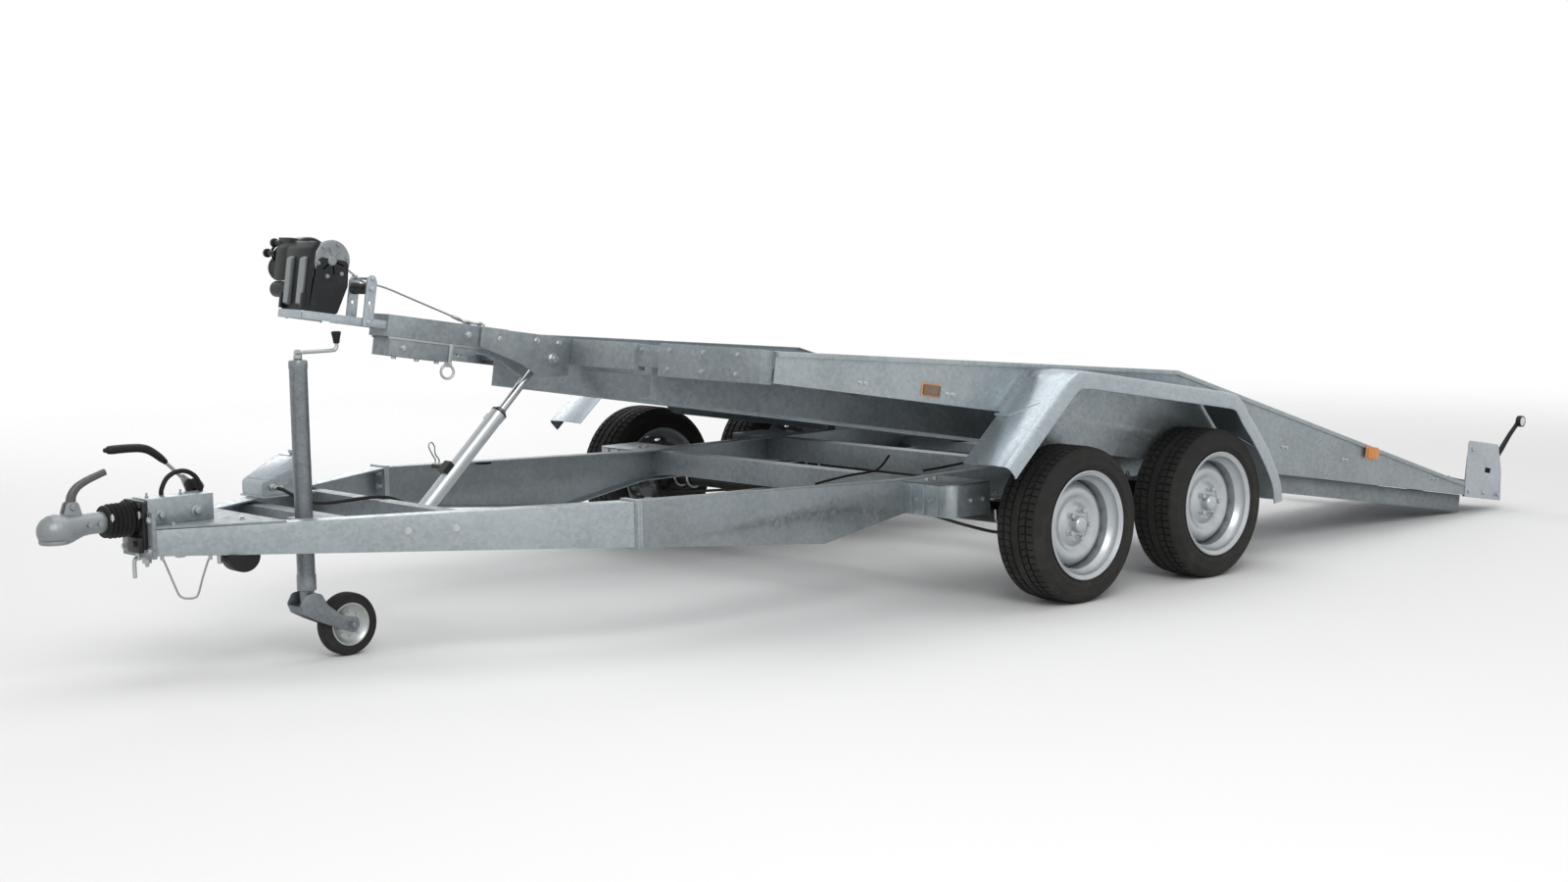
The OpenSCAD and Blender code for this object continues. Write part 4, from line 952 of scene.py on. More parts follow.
    bm = bmesh.new()
    rod(bm, (0, 0, 0.622), (0, 0, 0.912), 0.0055, 20)
    turned(bm, [(0, 0.9104), (0.0125, 0.9104), (0.0130, 0.912), (0.0130, 0.922), (0.0100, 0.9235), (0, 0.9235)],
           sides=28)
    line = [(-0.010, 0, 0.9280), (0.02, 0, 0.9282), (0.116, 0, 0.9282), (0.130, 0, 0.9310),
            (0.135, 0, 0.9400), (0.135, 0, 0.958)]
    swept(bm, smooth_line(line, 6), ring_of(0.0058, 16))
    hexagon(bm, (0, 0, 0.9300), (0, 0, 1), 0.016, 0.008)
    steel = len(bm.faces)
    turned(bm, [(0, 0.9482), (0.0080, 0.9482), (0.0095, 0.951), (0.0105, 0.958), (0.0125, 0.970),
                (0.0150, 0.979), (0.0140, 0.984), (0.007, 0.985), (0, 0.985)], (0.135, 0, 0), sides=28)
    paint(bm, steel, 1)
    finish(bm, "jockey_handle", [PLATED, PLASTIC], "jockey_crank", "cast_metal", "jockey_crank", place=spot,
           smooth=35)


jockey()


# Ram

def ram():
    x0, z0 = -1.719 - 0.350, 0.5195 - 0.500
    pin = Vector((0.350 + x0 * math.cos(TILT) + z0 * math.sin(TILT), 0,
                  0.500 - x0 * math.sin(TILT) + z0 * math.cos(TILT)))
    reach = (pin - RAM_FOOT).length
    bm = bmesh.new()
    turned(bm, [(0.0143, 0.505), (0.0200, 0.505), (0.0245, 0.5035), (0.0245, 0.4960), (0.0266, 0.4950),
                (0.0266, 0.4720), (0.0255, 0.4695), (0.0255, 0.0560), (0.0270, 0.0540), (0.0270, 0.0260),
                (0.0240, 0.0225), (0, 0.0220), (0, 0.0300), (0.0143, 0.0300), (0.0143, 0.505)],
           axis=(1, 0, 0), sides=48)
    turned(bm, [(0.0123, -0.027), (0.0245, -0.027), (0.0260, -0.0255), (0.0260, 0.0255), (0.0245, 0.027),
                (0.0123, 0.027), (0.0123, -0.027)], axis=(0, 1, 0), sides=40)
    block(bm, 0.462, 0.484, 0.021, 0.040, -0.008, 0.012)
    rod(bm, (0.237, 0.033, 0.004), (0.480, 0.033, 0.004), 0.0058, 18)
    barrel = len(bm.faces)
    turned(bm, [(0.0145, 0.5030), (0.0190, 0.5030), (0.0185, 0.5105), (0.0146, 0.5110), (0.0145, 0.5030)],
           axis=(1, 0, 0), sides=36)
    turned(bm, [(0.0250, 0), (0.0274, 0), (0.0274, 0.0065), (0.0250, 0.0065), (0.0250, 0)], (0.4945, 0, 0),
           (1, 0, 0), 40)
    # Port block, its union, and a wire eye that stands on the union
    block(bm, 0.217, 0.257, -0.016, 0.018, 0.016, 0.040)
    rod(bm, (0.237, 0.010, 0.029), (0.237, 0.075, 0.029), 0.0075, 18)
    eye = paint(bm, barrel, 1)
    level = RAM.inverted() @ CAR
    bar(bm, [level @ Vector((x, 0.070, z)) for x, z in (
        (-2.082, 0.522), (-2.070, 0.540), (-2.082, 0.562), (-2.094, 0.588), (-2.086, 0.601), (-2.073, 0.588),
        (-2.070, 0.562), (-2.056, 0.540), (-2.066, 0.522))], 0.0025, 8, steps=6)
    paint(bm, eye, 2)
    finish(bm, "ram_barrel", [SILVER_PAINT, BLACK_PAINT, PLATED], "ram_cylinder", "ram_steel", "ram_cylinder",
           place=RAM, smooth=35)
    bm = bmesh.new()
    rod(bm, (0.240, 0, 0), (reach - 0.015, 0, 0), 0.0140, 40)
    turned(bm, [(0.0119, -0.022), (0.0205, -0.022), (0.0220, -0.0205), (0.0220, 0.0205), (0.0205, 0.022),
                (0.0119, 0.022), (0.0119, -0.022)], (reach, 0, 0), (0, 1, 0), 40)
    rod(bm, (reach, -0.0497, 0), (reach, 0.0497, 0), 0.0119, 28)
    finish(bm, "ram_piston_rod", CHROME, "ram_rod", "ram_chrome", "ram_rod", place=RAM, smooth=35)
    # Pin heads at the foot
    bm = bmesh.new()
    for s in (-1, 1):
        turned(bm, [(0, 0), (0.0165, 0), (0.0165, 0.004), (0.014, 0.006), (0, 0.006)], (-2.230, s * 0.0455, 0.340),
               (0, s, 0), 28)
    finish(bm, "ram_foot_pin", PLATED, "chassis", "cast_metal", smooth=40)


ram()


# Frame and bed steel: the CAD shapes with their rolled edges

for cad_node in ("drawbar_left", "drawbar_right", "side_member_left", "side_member_right"):
    soften(cad_node, ZINC, "chassis", 0.0018)
for cad_node in ("head_plate", "crossmembers", "pivot_brackets"):
    soften(cad_node, ZINC_DULL, "chassis", 0.0015)
for cad_node in ("side_rail_left", "side_rail_right"):
    soften(cad_node, ZINC, "bed", 0.0012)
for cad_node in ("inner_beams", "front_beam", "bed_crossmembers", "nose_beam", "ram_bracket", "rear_skids"):
    soften(cad_node, ZINC_DULL, "bed", 0.0012)
for cad_node in ("runway_left", "runway_right"):
    soften(cad_node, ZINC_SHEET, "bed", 0.001)
for cad_node in ("leaf_springs", "front_axle", "rear_axle"):
    soften(cad_node, BLACK_PAINT, "chassis", 0.001)


# Road wheels

TYRE_R, TYRE_HALF, RIM_R = 0.2625, 0.0975, 0.183
GROOVE_R = TYRE_R - 0.0075


def tread_pitch():
    """One pitch of the tread: shoulder blocks, slanted middle blocks and a centre rib."""
    bm = bmesh.new()
    pitch = 2 * math.pi * TYRE_R / 64
    deep, top = GROOVE_R - 0.003, TYRE_R
    rows = ((-0.078, -0.052, 0.0, 0.84), (-0.044, -0.022, 0.3, 0.88), (-0.014, 0.014, 0.0, 1.0),
            (0.022, 0.044, -0.3, 0.88), (0.052, 0.078, 0.0, 0.84))
    for y0, y1, slant, part in rows:
        half = pitch * part / 2
        drop = 0.0035 if abs(y0 + y1) > 0.12 else 0
        corners = []
        for r in (deep, top):
            for x, y in ((-half, y0), (half, y0), (half, y1), (-half, y1)):
                edge = drop if r == top and abs(y) > 0.07 else 0
                shrink = 0.96 if r == top and part < 1 else 1
                corners.append((x * shrink + slant * (y - (y0 + y1) / 2), y, r - edge))
        put(bm, corners, [(4, 5, 6, 7), (0, 4, 7, 3), (1, 2, 6, 5), (0, 1, 5, 4), (3, 7, 6, 2)])
    mesh = bpy.data.meshes.new("tread_pitch")
    bm.to_mesh(mesh)
    bm.free()
    return bpy.data.objects.new("tread_pitch", mesh)


def make_tread_tree():
    """Repeats one pitch of the tread round the tyre."""
    tree = bpy.data.node_groups.new("tread_ring", "GeometryNodeTree")
    for label, kind, value in (("Carcass", "Geometry", None), ("Pitch", "Object", None),
                               ("Pitches", "Int", 64), ("Material", "Material", None)):
        socket = tree.interface.new_socket(label, in_out="INPUT", socket_type="NodeSocket" + kind)
        if value is not None:
            socket.default_value = value
    tree.interface.new_socket("Tyre", in_out="OUTPUT", socket_type="NodeSocketGeometry")
    start, end = tree.nodes.new("NodeGroupInput"), tree.nodes.new("NodeGroupOutput")
    line = tree.nodes.new("GeometryNodeMeshLine")
    line.mode = "OFFSET"
    line.inputs["Offset"].default_value = (0, 0, 0)
    tree.links.new(start.outputs["Pitches"], line.inputs["Count"])
    info = tree.nodes.new("GeometryNodeObjectInfo")
    tree.links.new(start.outputs["Pitch"], info.inputs["Object"])
    spread = tree.nodes.new("GeometryNodeInstanceOnPoints")
    tree.links.new(line.outputs["Mesh"], spread.inputs["Points"])
    tree.links.new(info.outputs["Geometry"], spread.inputs["Instance"])
    index = tree.nodes.new("GeometryNodeInputIndex")
    share = tree.nodes.new("ShaderNodeMath")
    share.operation = "DIVIDE"
    tree.links.new(index.outputs[0], share.inputs[0])
    tree.links.new(start.outputs["Pitches"], share.inputs[1])
    angle = tree.nodes.new("ShaderNodeMath")
    angle.operation = "MULTIPLY"
    angle.inputs[1].default_value = 2 * math.pi
    tree.links.new(share.outputs[0], angle.inputs[0])
    turn = tree.nodes.new("ShaderNodeCombineXYZ")
    tree.links.new(angle.outputs[0], turn.inputs["Y"])
    tree.links.new(turn.outputs[0], spread.inputs["Rotation"])
    real = tree.nodes.new("GeometryNodeRealizeInstances")
    tree.links.new(spread.outputs["Instances"], real.inputs["Geometry"])
    joined = tree.nodes.new("GeometryNodeJoinGeometry")
    tree.links.new(real.outputs["Geometry"], joined.inputs[0])
    tree.links.new(start.outputs["Carcass"], joined.inputs[0])
    coat = tree.nodes.new("GeometryNodeSetMaterial")
    tree.links.new(joined.outputs[0], coat.inputs["Geometry"])
    tree.links.new(start.outputs["Material"], coat.inputs["Material"])
    tree.links.new(coat.outputs["Geometry"], end.inputs["Tyre"])
    return tree


def make_tyre():
    """Carcass with beads, bulging walls and rings, and the tread on it; its axle is Y."""
    r, h, b = TYRE_R, TYRE_HALF, RIM_R
    side = [(b - 0.012, h - 0.030), (b - 0.006, h - 0.014), (b + 0.004, h - 0.008), (b + 0.012, h - 0.004),
            (b + 0.018, h - 0.0015), (b + 0.021, h + 0.0004), (b + 0.024, h - 0.001),
            (r - 0.040, h), (r - 0.032, h - 0.001), (r - 0.030, h + 0.0004), (r - 0.026, h - 0.0015),
            (r - 0.018, h - 0.007), (r - 0.009, h - 0.014), (r - 0.0035, h - 0.021),
            (GROOVE_R + 0.0005, h - 0.028), (GROOVE_R, 0.060)]
    inner = [(r - 0.020, 0.062), (r - 0.018, 0.0)]
    profile = [(x, -y) for x, y in side] + [(x, y) for x, y in reversed(side)]
    profile += [(b + 0.006, h - 0.034), (b + 0.030, h - 0.012)] + inner + [(r - 0.020, -0.062),
                                                                          (b + 0.030, -h + 0.012),
                                                                          (b + 0.006, -h + 0.034)]
    profile.append(profile[0])
    bm = bmesh.new()
    turned(bm, profile, axis=(0, 1, 0), sides=128)
    bmesh.ops.recalc_face_normals(bm, faces=bm.faces)
    mesh = bpy.data.meshes.new("tyre_carcass")
    bm.to_mesh(mesh)
    bm.free()
    obj = bpy.data.objects.new("tyre_carcass", mesh)
    bpy.context.scene.collection.objects.link(obj)
    pitch = tread_pitch()
    bpy.context.scene.collection.objects.link(pitch)
    tree = make_tread_tree()
    ids = inputs_of(tree)
    mod = obj.modifiers.new("tread", "NODES")
    mod.node_group = tree
    mod[ids["Pitch"]] = pitch
    mod[ids["Pitches"]] = 64
    mod[ids["Material"]] = TYRE_RUBBER
    bpy.context.view_layer.update()
    evaluated(obj)
    bpy.data.objects.remove(pitch)
    mesh = obj.data
    bpy.data.objects.remove(obj)
    return mesh


def make_rim():
    """Steel wheel: a stepped barrel, a dished disc with round vents, hub, bolts and valve; outside is +Y."""
    wall = 0.004
    outer = [(0.176, -0.093), (0.182, -0.093), (0.182, -0.088), (0.172, -0.082), (0.170, -0.060),
             (0.158, -0.045), (0.154, 0.045), (0.165, 0.060), (0.171, 0.074), (0.173, 0.084),
             (0.182, 0.089), (0.1832, 0.0935), (0.180, 0.0955)]
    inner = [(0.176, 0.092), (0.1675, 0.086), (0.166, 0.076), (0.160, 0.064), (0.150, 0.052),
             (0.150, -0.045), (0.154, -0.050), (0.166, -0.064), (0.168, -0.084)]
    bm = bmesh.new()
    turned(bm, [*outer, *inner, outer[0]], axis=(0, 1, 0), sides=96)
    # Disc: radius and depth from the wheel's middle plane
    face = [(0.030, 0.045), (0.052, 0.045), (0.058, 0.043), (0.066, 0.036), (0.076, 0.030), (0.084, 0.031),
            (0.092, 0.036), (0.100, 0.042), (0.108, 0.0445), (0.116, 0.044), (0.124, 0.040), (0.132, 0.032),
            (0.140, 0.022), (0.146, 0.010), (0.150, -0.006)]
    disc = bmesh.new()
    turned(disc, face + [(x - (0.001 if i > 9 else 0), y - wall) for i, (x, y) in
                         reversed(list(enumerate(face)))] + [face[0]], axis=(0, 1, 0), sides=96)
    bmesh.ops.recalc_face_normals(disc, faces=disc.faces)
    mesh = bpy.data.meshes.new("disc")
    disc.to_mesh(mesh)
    disc.free()
    obj = bpy.data.objects.new("disc", mesh)
    bpy.context.scene.collection.objects.link(obj)
    cut = bmesh.new()
    for i in range(16):
        a = 2 * math.pi * (i + 0.5) / 16
        out = Vector((math.cos(a), 0, math.sin(a)))
        foot = out * 0.127
        turned(cut, [(0, 0), (0.0088, 0), (0.0088, 0.09), (0, 0.09)], foot + Vector((0, -0.02, 0)),
               Vector((0, 1, 0)) + out * 0.35, sides=18)
    bmesh.ops.recalc_face_normals(cut, faces=cut.faces)
    cutter_mesh = bpy.data.meshes.new("vents")
    cut.to_mesh(cutter_mesh)
    cut.free()
    cutter = bpy.data.objects.new("vents", cutter_mesh)
    bpy.context.scene.collection.objects.link(cutter)
    mod = obj.modifiers.new("vents", "BOOLEAN")
    mod.operation, mod.object, mod.solver = "DIFFERENCE", cutter, "EXACT"
    bpy.context.view_layer.update()
    evaluated(obj)
    bpy.data.objects.remove(cutter)
    bm.from_mesh(obj.data)
    bpy.data.objects.remove(obj)
    # Hub with its dust cap, and the brake drum behind the disc
    turned(bm, [(0, 0.074), (0.010, 0.0738), (0.020, 0.072), (0.0265, 0.067), (0.0285, 0.060), (0.029, 0.046),
                (0.0325, 0.046), (0.0325, 0.030), (0.021, 0.030), (0.021, 0.036), (0, 0.036)],
           axis=(0, 1, 0), sides=40)
    turned(bm, [(0.0212, 0.036), (0.060, 0.036), (0.062, 0.020), (0.110, 0.008), (0.112, 0.002),
                (0.112, -0.062), (0.106, -0.062), (0.106, -0.004), (0.060, 0.006), (0.058, -0.068),
                (0.0212, -0.068), (0.0212, 0.036)], axis=(0, 1, 0), sides=48)
    for i in range(5):
        a = 2 * math.pi * i / 5 + 0.3
        p = Vector((0.0425 * 1.15 * math.cos(a), 0.040, 0.0425 * 1.15 * math.sin(a)))
        turned(bm, [(0.0105, 0.003), (0.0105, 0.008), (0.0085, 0.0095), (0.0, 0.0095)], p, (0, 1, 0), 20)
        turned(bm, [(0.0095, 0.006), (0.0095, 0.021), (0.0078, 0.0235), (0.0, 0.0235)], p, (0, 1, 0), 6)
    # Valve
    for r0, r1, h0, h1 in ((0.0055, 0.0042, 0.0, 0.018), (0.0034, 0.0034, 0.018, 0.026)):
        turned(bm, [(0, h0), (r0, h0), (r1, h1), (0, h1)], (0.150, 0.047, -0.055), (0.12, 1, -0.03), 12)
    bmesh.ops.remove_doubles(bm, verts=bm.verts, dist=1e-6)
    mesh = bpy.data.meshes.new("steel_wheel")
    bm.to_mesh(mesh)
    bm.free()
    return mesh


def wheels():
    tyre, rim = make_tyre(), make_rim()
    rim.materials.clear()
    rim.materials.append(SILVER_PAINT)
    turns = {("front", "left"): -0.42, ("rear", "left"): -0.30, ("front", "right"): 1.1, ("rear", "right"): 2.3}
    for s, side in SIDES:
        for row, x in (("front", -AXLE_HALF), ("rear", AXLE_HALF)):
            place = CAR @ Matrix.Translation((x, s * 1.1, TYRE_R))
            if s < 0:
                place = place @ Matrix.Rotation(math.pi, 4, "Z")
            place = place @ Matrix.Rotation(turns[row, side], 4, "Y")
            for mesh, kind, slot_name, sharp in ((tyre, "tyre", "tyre", 34), (rim, "rim", "rim", 38)):
                name = f"{kind}_{row}_{side}"
                own = mesh.copy()
                own.transform(place)
                obj = bpy.data.objects.new(name + "_dressed", own)
                bpy.context.scene.collection.objects.link(obj)
                dress(obj, f"wheel_{row}_{side}", [name], smooth=sharp)


wheels()


# Nose and winch, all drawn as if the bed were level

NOSE, NOSE_TOP = -2.355, 0.593
WINCH = Vector((NOSE - 0.215, 0, NOSE_TOP + 0.137))


def winch():
    wx, wz = WINCH.x, WINCH.z
    shelf = NOSE_TOP - 0.022
    bm = bmesh.new()
    # Shelf: a folded channel, open below
    board = rounded([(NOSE - 0.305, -0.045), (NOSE - 0.0004, -0.045), (NOSE - 0.0004, 0.045),
                     (NOSE - 0.150, 0.045), (NOSE - 0.150, 0.090), (NOSE - 0.305, 0.090)],
                    [0.010, 0.001, 0.001, 0.010, 0.010, 0.010])
    plate(bm, board, shelf - 0.005, shelf, (), LAID)
    block(bm, NOSE - 0.300, NOSE - 0.0004, -0.0449, -0.0400, shelf - 0.024, shelf - 0.004)
    block(bm, NOSE - 0.148, NOSE - 0.0004, 0.0400, 0.0449, shelf - 0.024, shelf - 0.004)
    block(bm, NOSE - 0.3049, NOSE - 0.300, -0.040, 0.085, shelf - 0.024, shelf - 0.004)
    block(bm, NOSE - 0.300, NOSE - 0.150, 0.085, 0.0899, shelf - 0.024, shelf - 0.004)
    for x in (NOSE - 0.285, NOSE - 0.165):
        for y in (-0.022, 0.066):
            hexagon(bm, (x, y, shelf - 0.005), (0, 0, -1), 0.015, 0.010)
            rod(bm, (x, y, shelf - 0.014), (x, y, shelf - 0.027), 0.004, 12)
    zinc = len(bm.faces)
    # Foot plates, gear housing with a rounded back, motor and front housing
    for y0 in (-0.045, 0.078):
        plate(bm, rounded([(wx - 0.066, shelf), (wx + 0.034, shelf), (wx + 0.062, wz - 0.070),
                           (wx + 0.056, wz + 0.005), (wx - 0.050, wz + 0.005)],
                          [0.004, 0.012, 0.02, 0.02, 0.02]), y0, y0 + 0.0105)
    turned(bm, [(0.0122, 0.0785), (0.0640, 0.0785), (0.0685, 0.0815), (0.0700, 0.0870), (0.0700, 0.1330),
                (0.0670, 0.1420), (0.0590, 0.1480), (0.0480, 0.1500), (0, 0.1500), (0, 0.1200),
                (0.0122, 0.1200), (0.0122, 0.0785)], (wx, 0, wz), (0, 1, 0), 56)
    mx, mz = wx - 0.008, wz - 0.028
    turned(bm, [(0, 0.1480), (0.0400, 0.1480), (0.0400, 0.1560), (0.0385, 0.1575), (0.0385, 0.2280),
                (0.0400, 0.2295), (0.0400, 0.2380), (0.0370, 0.2440), (0.0150, 0.2450), (0, 0.2450)],
           (mx, 0, mz), (0, 1, 0), 44)
    for low, y0, y1 in ((shelf, -0.0448, 0.088), (wz - 0.070, 0.0875, 0.1495)):
        cover = rounded([(wx - 0.0775, low), (wx - 0.0665, low), (wx - 0.0600, wz + 0.020),
                         (wx - 0.0480, wz + 0.046), (wx - 0.0570, wz + 0.052), (wx - 0.0775, wz + 0.026)],
                        [0.001, 0.001, 0.02, 0.004, 0.004, 0.02])
        plate(bm, cover, y0, y1)
    # Second solenoid under the motor
    turned(bm, [(0, 0.0870), (0.0240, 0.0870), (0.0250, 0.0885), (0.0250, 0.1880), (0.0225, 0.1920), (0.0090, 0.1925),
                (0.0090, 0.2060), (0.0060, 0.2080), (0, 0.2080)], (wx - 0.040, 0, wz - 0.096), (0, 1, 0), 32)
    for y in (-0.044, 0.0735):
        block(bm, wx - 0.0905, wx - 0.0765, y, y + 0.012, shelf + 0.004, shelf + 0.050)
    # Solenoid box and cable posts on the far side
    block(bm, wx - 0.064, wx - 0.010, 0.098, 0.166, wz + 0.022, wz + 0.060)
    for y, z in ((0.170, wz + 0.044), (0.205, wz + 0.012)):
        rod(bm, (wx - 0.058, y - 0.020, z), (wx - 0.058, y + 0.028, z), 0.0085, 18)
        turned(bm, [(0, 0), (0.0125, 0), (0.0140, 0.003), (0.0140, 0.010), (0.0110, 0.0135), (0, 0.0135)],
               (wx - 0.058, y + 0.022, z), (0, 1, 0), 20)
    for k in range(3):
        bar(bm, [(wx - 0.050 + 0.016 * k, 0.160, wz + 0.040), (wx - 0.056 + 0.016 * k, 0.192, wz + 0.036),
                 (wx - 0.050 + 0.012 * k, 0.222, wz + 0.016), (wx - 0.030 + 0.010 * k, 0.232, wz - 0.012)],
            0.0042, 10, steps=6)
    black = len(bm.faces)
    # Grey casting: the near end cover with its ribs, and the two ribs of the front
    turned(bm, [(0, -0.0475), (0.0130, -0.0475), (0.0150, -0.0455), (0.0170, -0.0425), (0.0330, -0.0415),
                (0.0400, -0.0445), (0.0560, -0.0450), (0.0615, -0.0430), (0.0630, -0.0390), (0.0630, -0.0345),
                (0.0122, -0.0345), (0.0122, -0.0400), (0, -0.0400)], (wx, 0, wz), (0, 1, 0), 56)
    for i in range(6):
        a = math.pi * i / 3 + 0.26
        p = Vector((wx + 0.0505 * math.cos(a), -0.0448, wz + 0.0505 * math.sin(a)))
        hexagon(bm, p, (0, -1, 0), 0.010, 0.006)
        slab = Matrix.Translation((wx, 0, wz)) @ Matrix.Rotation(-a - 0.52, 4, "Y")
        block(bm, 0.016, 0.042, -0.0450, -0.0400, -0.0022, 0.0022, slab)
    for y in (-0.031, 0.041):
        front = rounded([(wx - 0.0900, shelf + 0.020), (wx - 0.0770, shelf + 0.012), (wx - 0.0770, wz + 0.006),
                         (wx - 0.0900, wz - 0.006)], 0.004)
        plate(bm, front, y, y + 0.024)
    rod(bm, (wx + 0.012, 0.118, wz + 0.066), (wx + 0.012, 0.118, wz + 0.0695), 0.014, 20)
    paint(bm, zinc, 1)
    paint(bm, black, 2)
    finish(bm, "winch_body", [ZINC_SHEET, WINCH_PAINT, CAST_GREY], "bed", "winch_black", "winch_frame",
           place=BED, bevel=0.0012, smooth=35)

    bm = bmesh.new()
    rod(bm, (wx, -0.040, wz), (wx, 0.115, wz), 0.0119, 24)
    turned(bm, [(0.0115, -0.028), (0.0575, -0.028), (0.0580, -0.0275), (0.0580, -0.0235), (0.0560, -0.023),
                (0.0300, -0.022), (0.0300, 0.066), (0.0560, 0.067), (0.0580, 0.0675), (0.0580, 0.0715),
                (0.0575, 0.072), (0.0115, 0.072), (0.0115, -0.028)], (wx, 0, wz), (0, 1, 0), 56)
    for s, y in ((-1, -0.028), (1, 0.072)):
        for i in range(4):
            a = math.pi / 2 * i
            turned(bm, [(0, 0), (0.005, 0), (0.005, 0.0022), (0, 0.0022)],
                   (wx + 0.042 * math.cos(a), y, wz + 0.042 * math.sin(a)), (0, s, 0), 14)
    steel = len(bm.faces)
    turns = []
    for i in range(13 * 24 + 7):
        a = 2 * math.pi * i / 24
        turns.append((wx + 0.0331 * math.sin(a), -0.0185 + 0.0063 * i / 24, wz + 0.0331 * math.cos(a)))
    bar(bm, turns, 0.003, 8, uv=(4, 120), steps=1)
    paint(bm, steel, 1)
    finish(bm, "wound_drum", [BARE_STEEL, WIRE], "winch_drum", "winch_steel", "winch_drum", place=BED, smooth=40)

    # The taut rope, with its thimble, hook and keeper on the beam
    bm = bmesh.new()
    px, roller = NOSE - 0.072, NOSE_TOP + 0.068
    bar(bm, [(wx + 0.008, 0.030, wz + 0.0332), (wx + 0.050, 0.0205, wz + 0.0100), (px - 0.025, 0.0045, roller + 0.0345),
             (px, 0, roller + 0.0216), (px + 0.030, 0, roller + 0.0190), (NOSE + 0.015, 0, NOSE_TOP + 0.080),
             (NOSE + 0.100, 0, NOSE_TOP + 0.0605), (NOSE + 0.250, 0, NOSE_TOP + 0.0255),
             (NOSE + 0.315, 0, NOSE_TOP + 0.0100)], 0.003, 12, uv=(4, 120), steps=8)
    wire = len(bm.faces)
    rod(bm, (NOSE + 0.268, 0, NOSE_TOP + 0.0212), (NOSE + 0.300, 0, NOSE_TOP + 0.0135), 0.0058, 16)
    ring(bm, (NOSE + 0.318, 0, NOSE_TOP + 0.0095), 0.0105, 0.0030, (0, 0, 1))
    hook = [(NOSE + 0.324, 0, 0.6025), (NOSE + 0.338, 0, 0.6025), (NOSE + 0.352, -0.004, 0.6025),
            (NOSE + 0.362, -0.011, 0.6025), (NOSE + 0.374, -0.009, 0.6025), (NOSE + 0.378, 0.002, 0.6025),
            (NOSE + 0.370, 0.010, 0.6025), (NOSE + 0.358, 0.010, 0.6025)]
    bar(bm, hook, [0.0045, 0.0045, 0.0052, 0.0058, 0.0062, 0.0058, 0.0048, 0.0025], 14, steps=6)
    for x, h in ((NOSE + 0.345, 0.016), (NOSE + 0.402, 0.012)):
        turned(bm, [(0, 0), (0.013, 0), (0.013, h * 0.5), (0.010, h), (0, h)], (x, 0.026, NOSE_TOP), sides=20)
    paint(bm, wire, 1)
    finish(bm, "winch_line", [WIRE, PLATED], "bed", "wire", "winch_rope", place=BED, smooth=50)

    bm = bmesh.new()
    for s in (-1, 1):
        y0, y1 = sorted((s * 0.0453, s * 0.0505))
        cheek = rounded([(px - 0.018, shelf - 0.024), (px + 0.018, shelf - 0.024), (px + 0.018, NOSE_TOP + 0.092),
                         (px + 0.008, NOSE_TOP + 0.110), (px - 0.008, NOSE_TOP + 0.110),
                         (px - 0.018, NOSE_TOP + 0.092)], [0.004, 0.004, 0.01, 0.008, 0.008, 0.01])
        plate(bm, cheek, y0, y1, [circle(px, NOSE_TOP + 0.026, 0.006, 16)])
        hexagon(bm, (px, s * 0.0503, roller), (0, s, 0), 0.016, 0.010)
        hexagon(bm, (px, s * 0.0503, NOSE_TOP + 0.100), (0, s, 0), 0.012, 0.008)
        hexagon(bm, (px, s * 0.0503, shelf - 0.012), (0, s, 0), 0.013, 0.008)
    rod(bm, (px, -0.0454, NOSE_TOP + 0.100), (px, 0.0454, NOSE_TOP + 0.100), 0.0048, 18)
    metal = len(bm.faces)
    turned(bm, [(0.006, -0.0448), (0.0165, -0.0448), (0.0180, -0.043), (0.0172, -0.020), (0.0165, 0.0),
                (0.0172, 0.020), (0.0180, 0.043), (0.0165, 0.0448), (0.006, 0.0448), (0.006, -0.0448)],
           (px, 0, roller), (0, 1, 0), 36)
    paint(bm, metal, 1)
    finish(bm, "rope_guide", [ZINC_SHEET, PLASTIC], "bed", "galvanised", "guide_post", place=BED,
           bevel=0.0008, smooth=35)

    # Fittings of the nose beam
    bm = bmesh.new()
    for s in (-1, 1):
        for x in (NOSE + 0.300, NOSE + 0.420):
            hexagon(bm, (x, s * 0.0500, 0.560), (0, s, 0), 0.018, 0.011)
        block(bm, NOSE + 0.010, NOSE + 0.345, s * 0.0462 - 0.0022, s * 0.0462 + 0.0022, 0.5190, 0.5262)
    for x in (NOSE + 0.045, NOSE + 0.130, NOSE + 0.205, NOSE + 0.285):
        hexagon(bm, (x, -0.030, 0.467 if x < NOSE + 0.24 else 0.4972), (0, 0, -1), 0.014, 0.009)
    hexagon(bm, (NOSE + 0.066, -0.046, 0.494), (0, -1, 0), 0.016, 0.010)
    block(bm, NOSE + 0.236, NOSE + 0.2495, -0.050, -0.030, 0.452, 0.5242)
    rod(bm, (NOSE + 0.243, -0.055, 0.461), (NOSE + 0.243, -0.025, 0.461), 0.0055, 14)
    ring(bm, (NOSE + 0.243, -0.040, 0.437), 0.0210, 0.0042, (0.25, 1, 0))
    for y in (-0.020, 0.020):
        rod(bm, (NOSE + 0.0005, y, 0.560), (NOSE - 0.003, y, 0.560), 0.005, 12)
    finish(bm, "nose_fittings", PLATED, "bed", "cast_metal", place=BED, bevel=0.0005, smooth=35)


winch()


# Mudguards: one pressed sheet over both wheels with a rolled outer edge

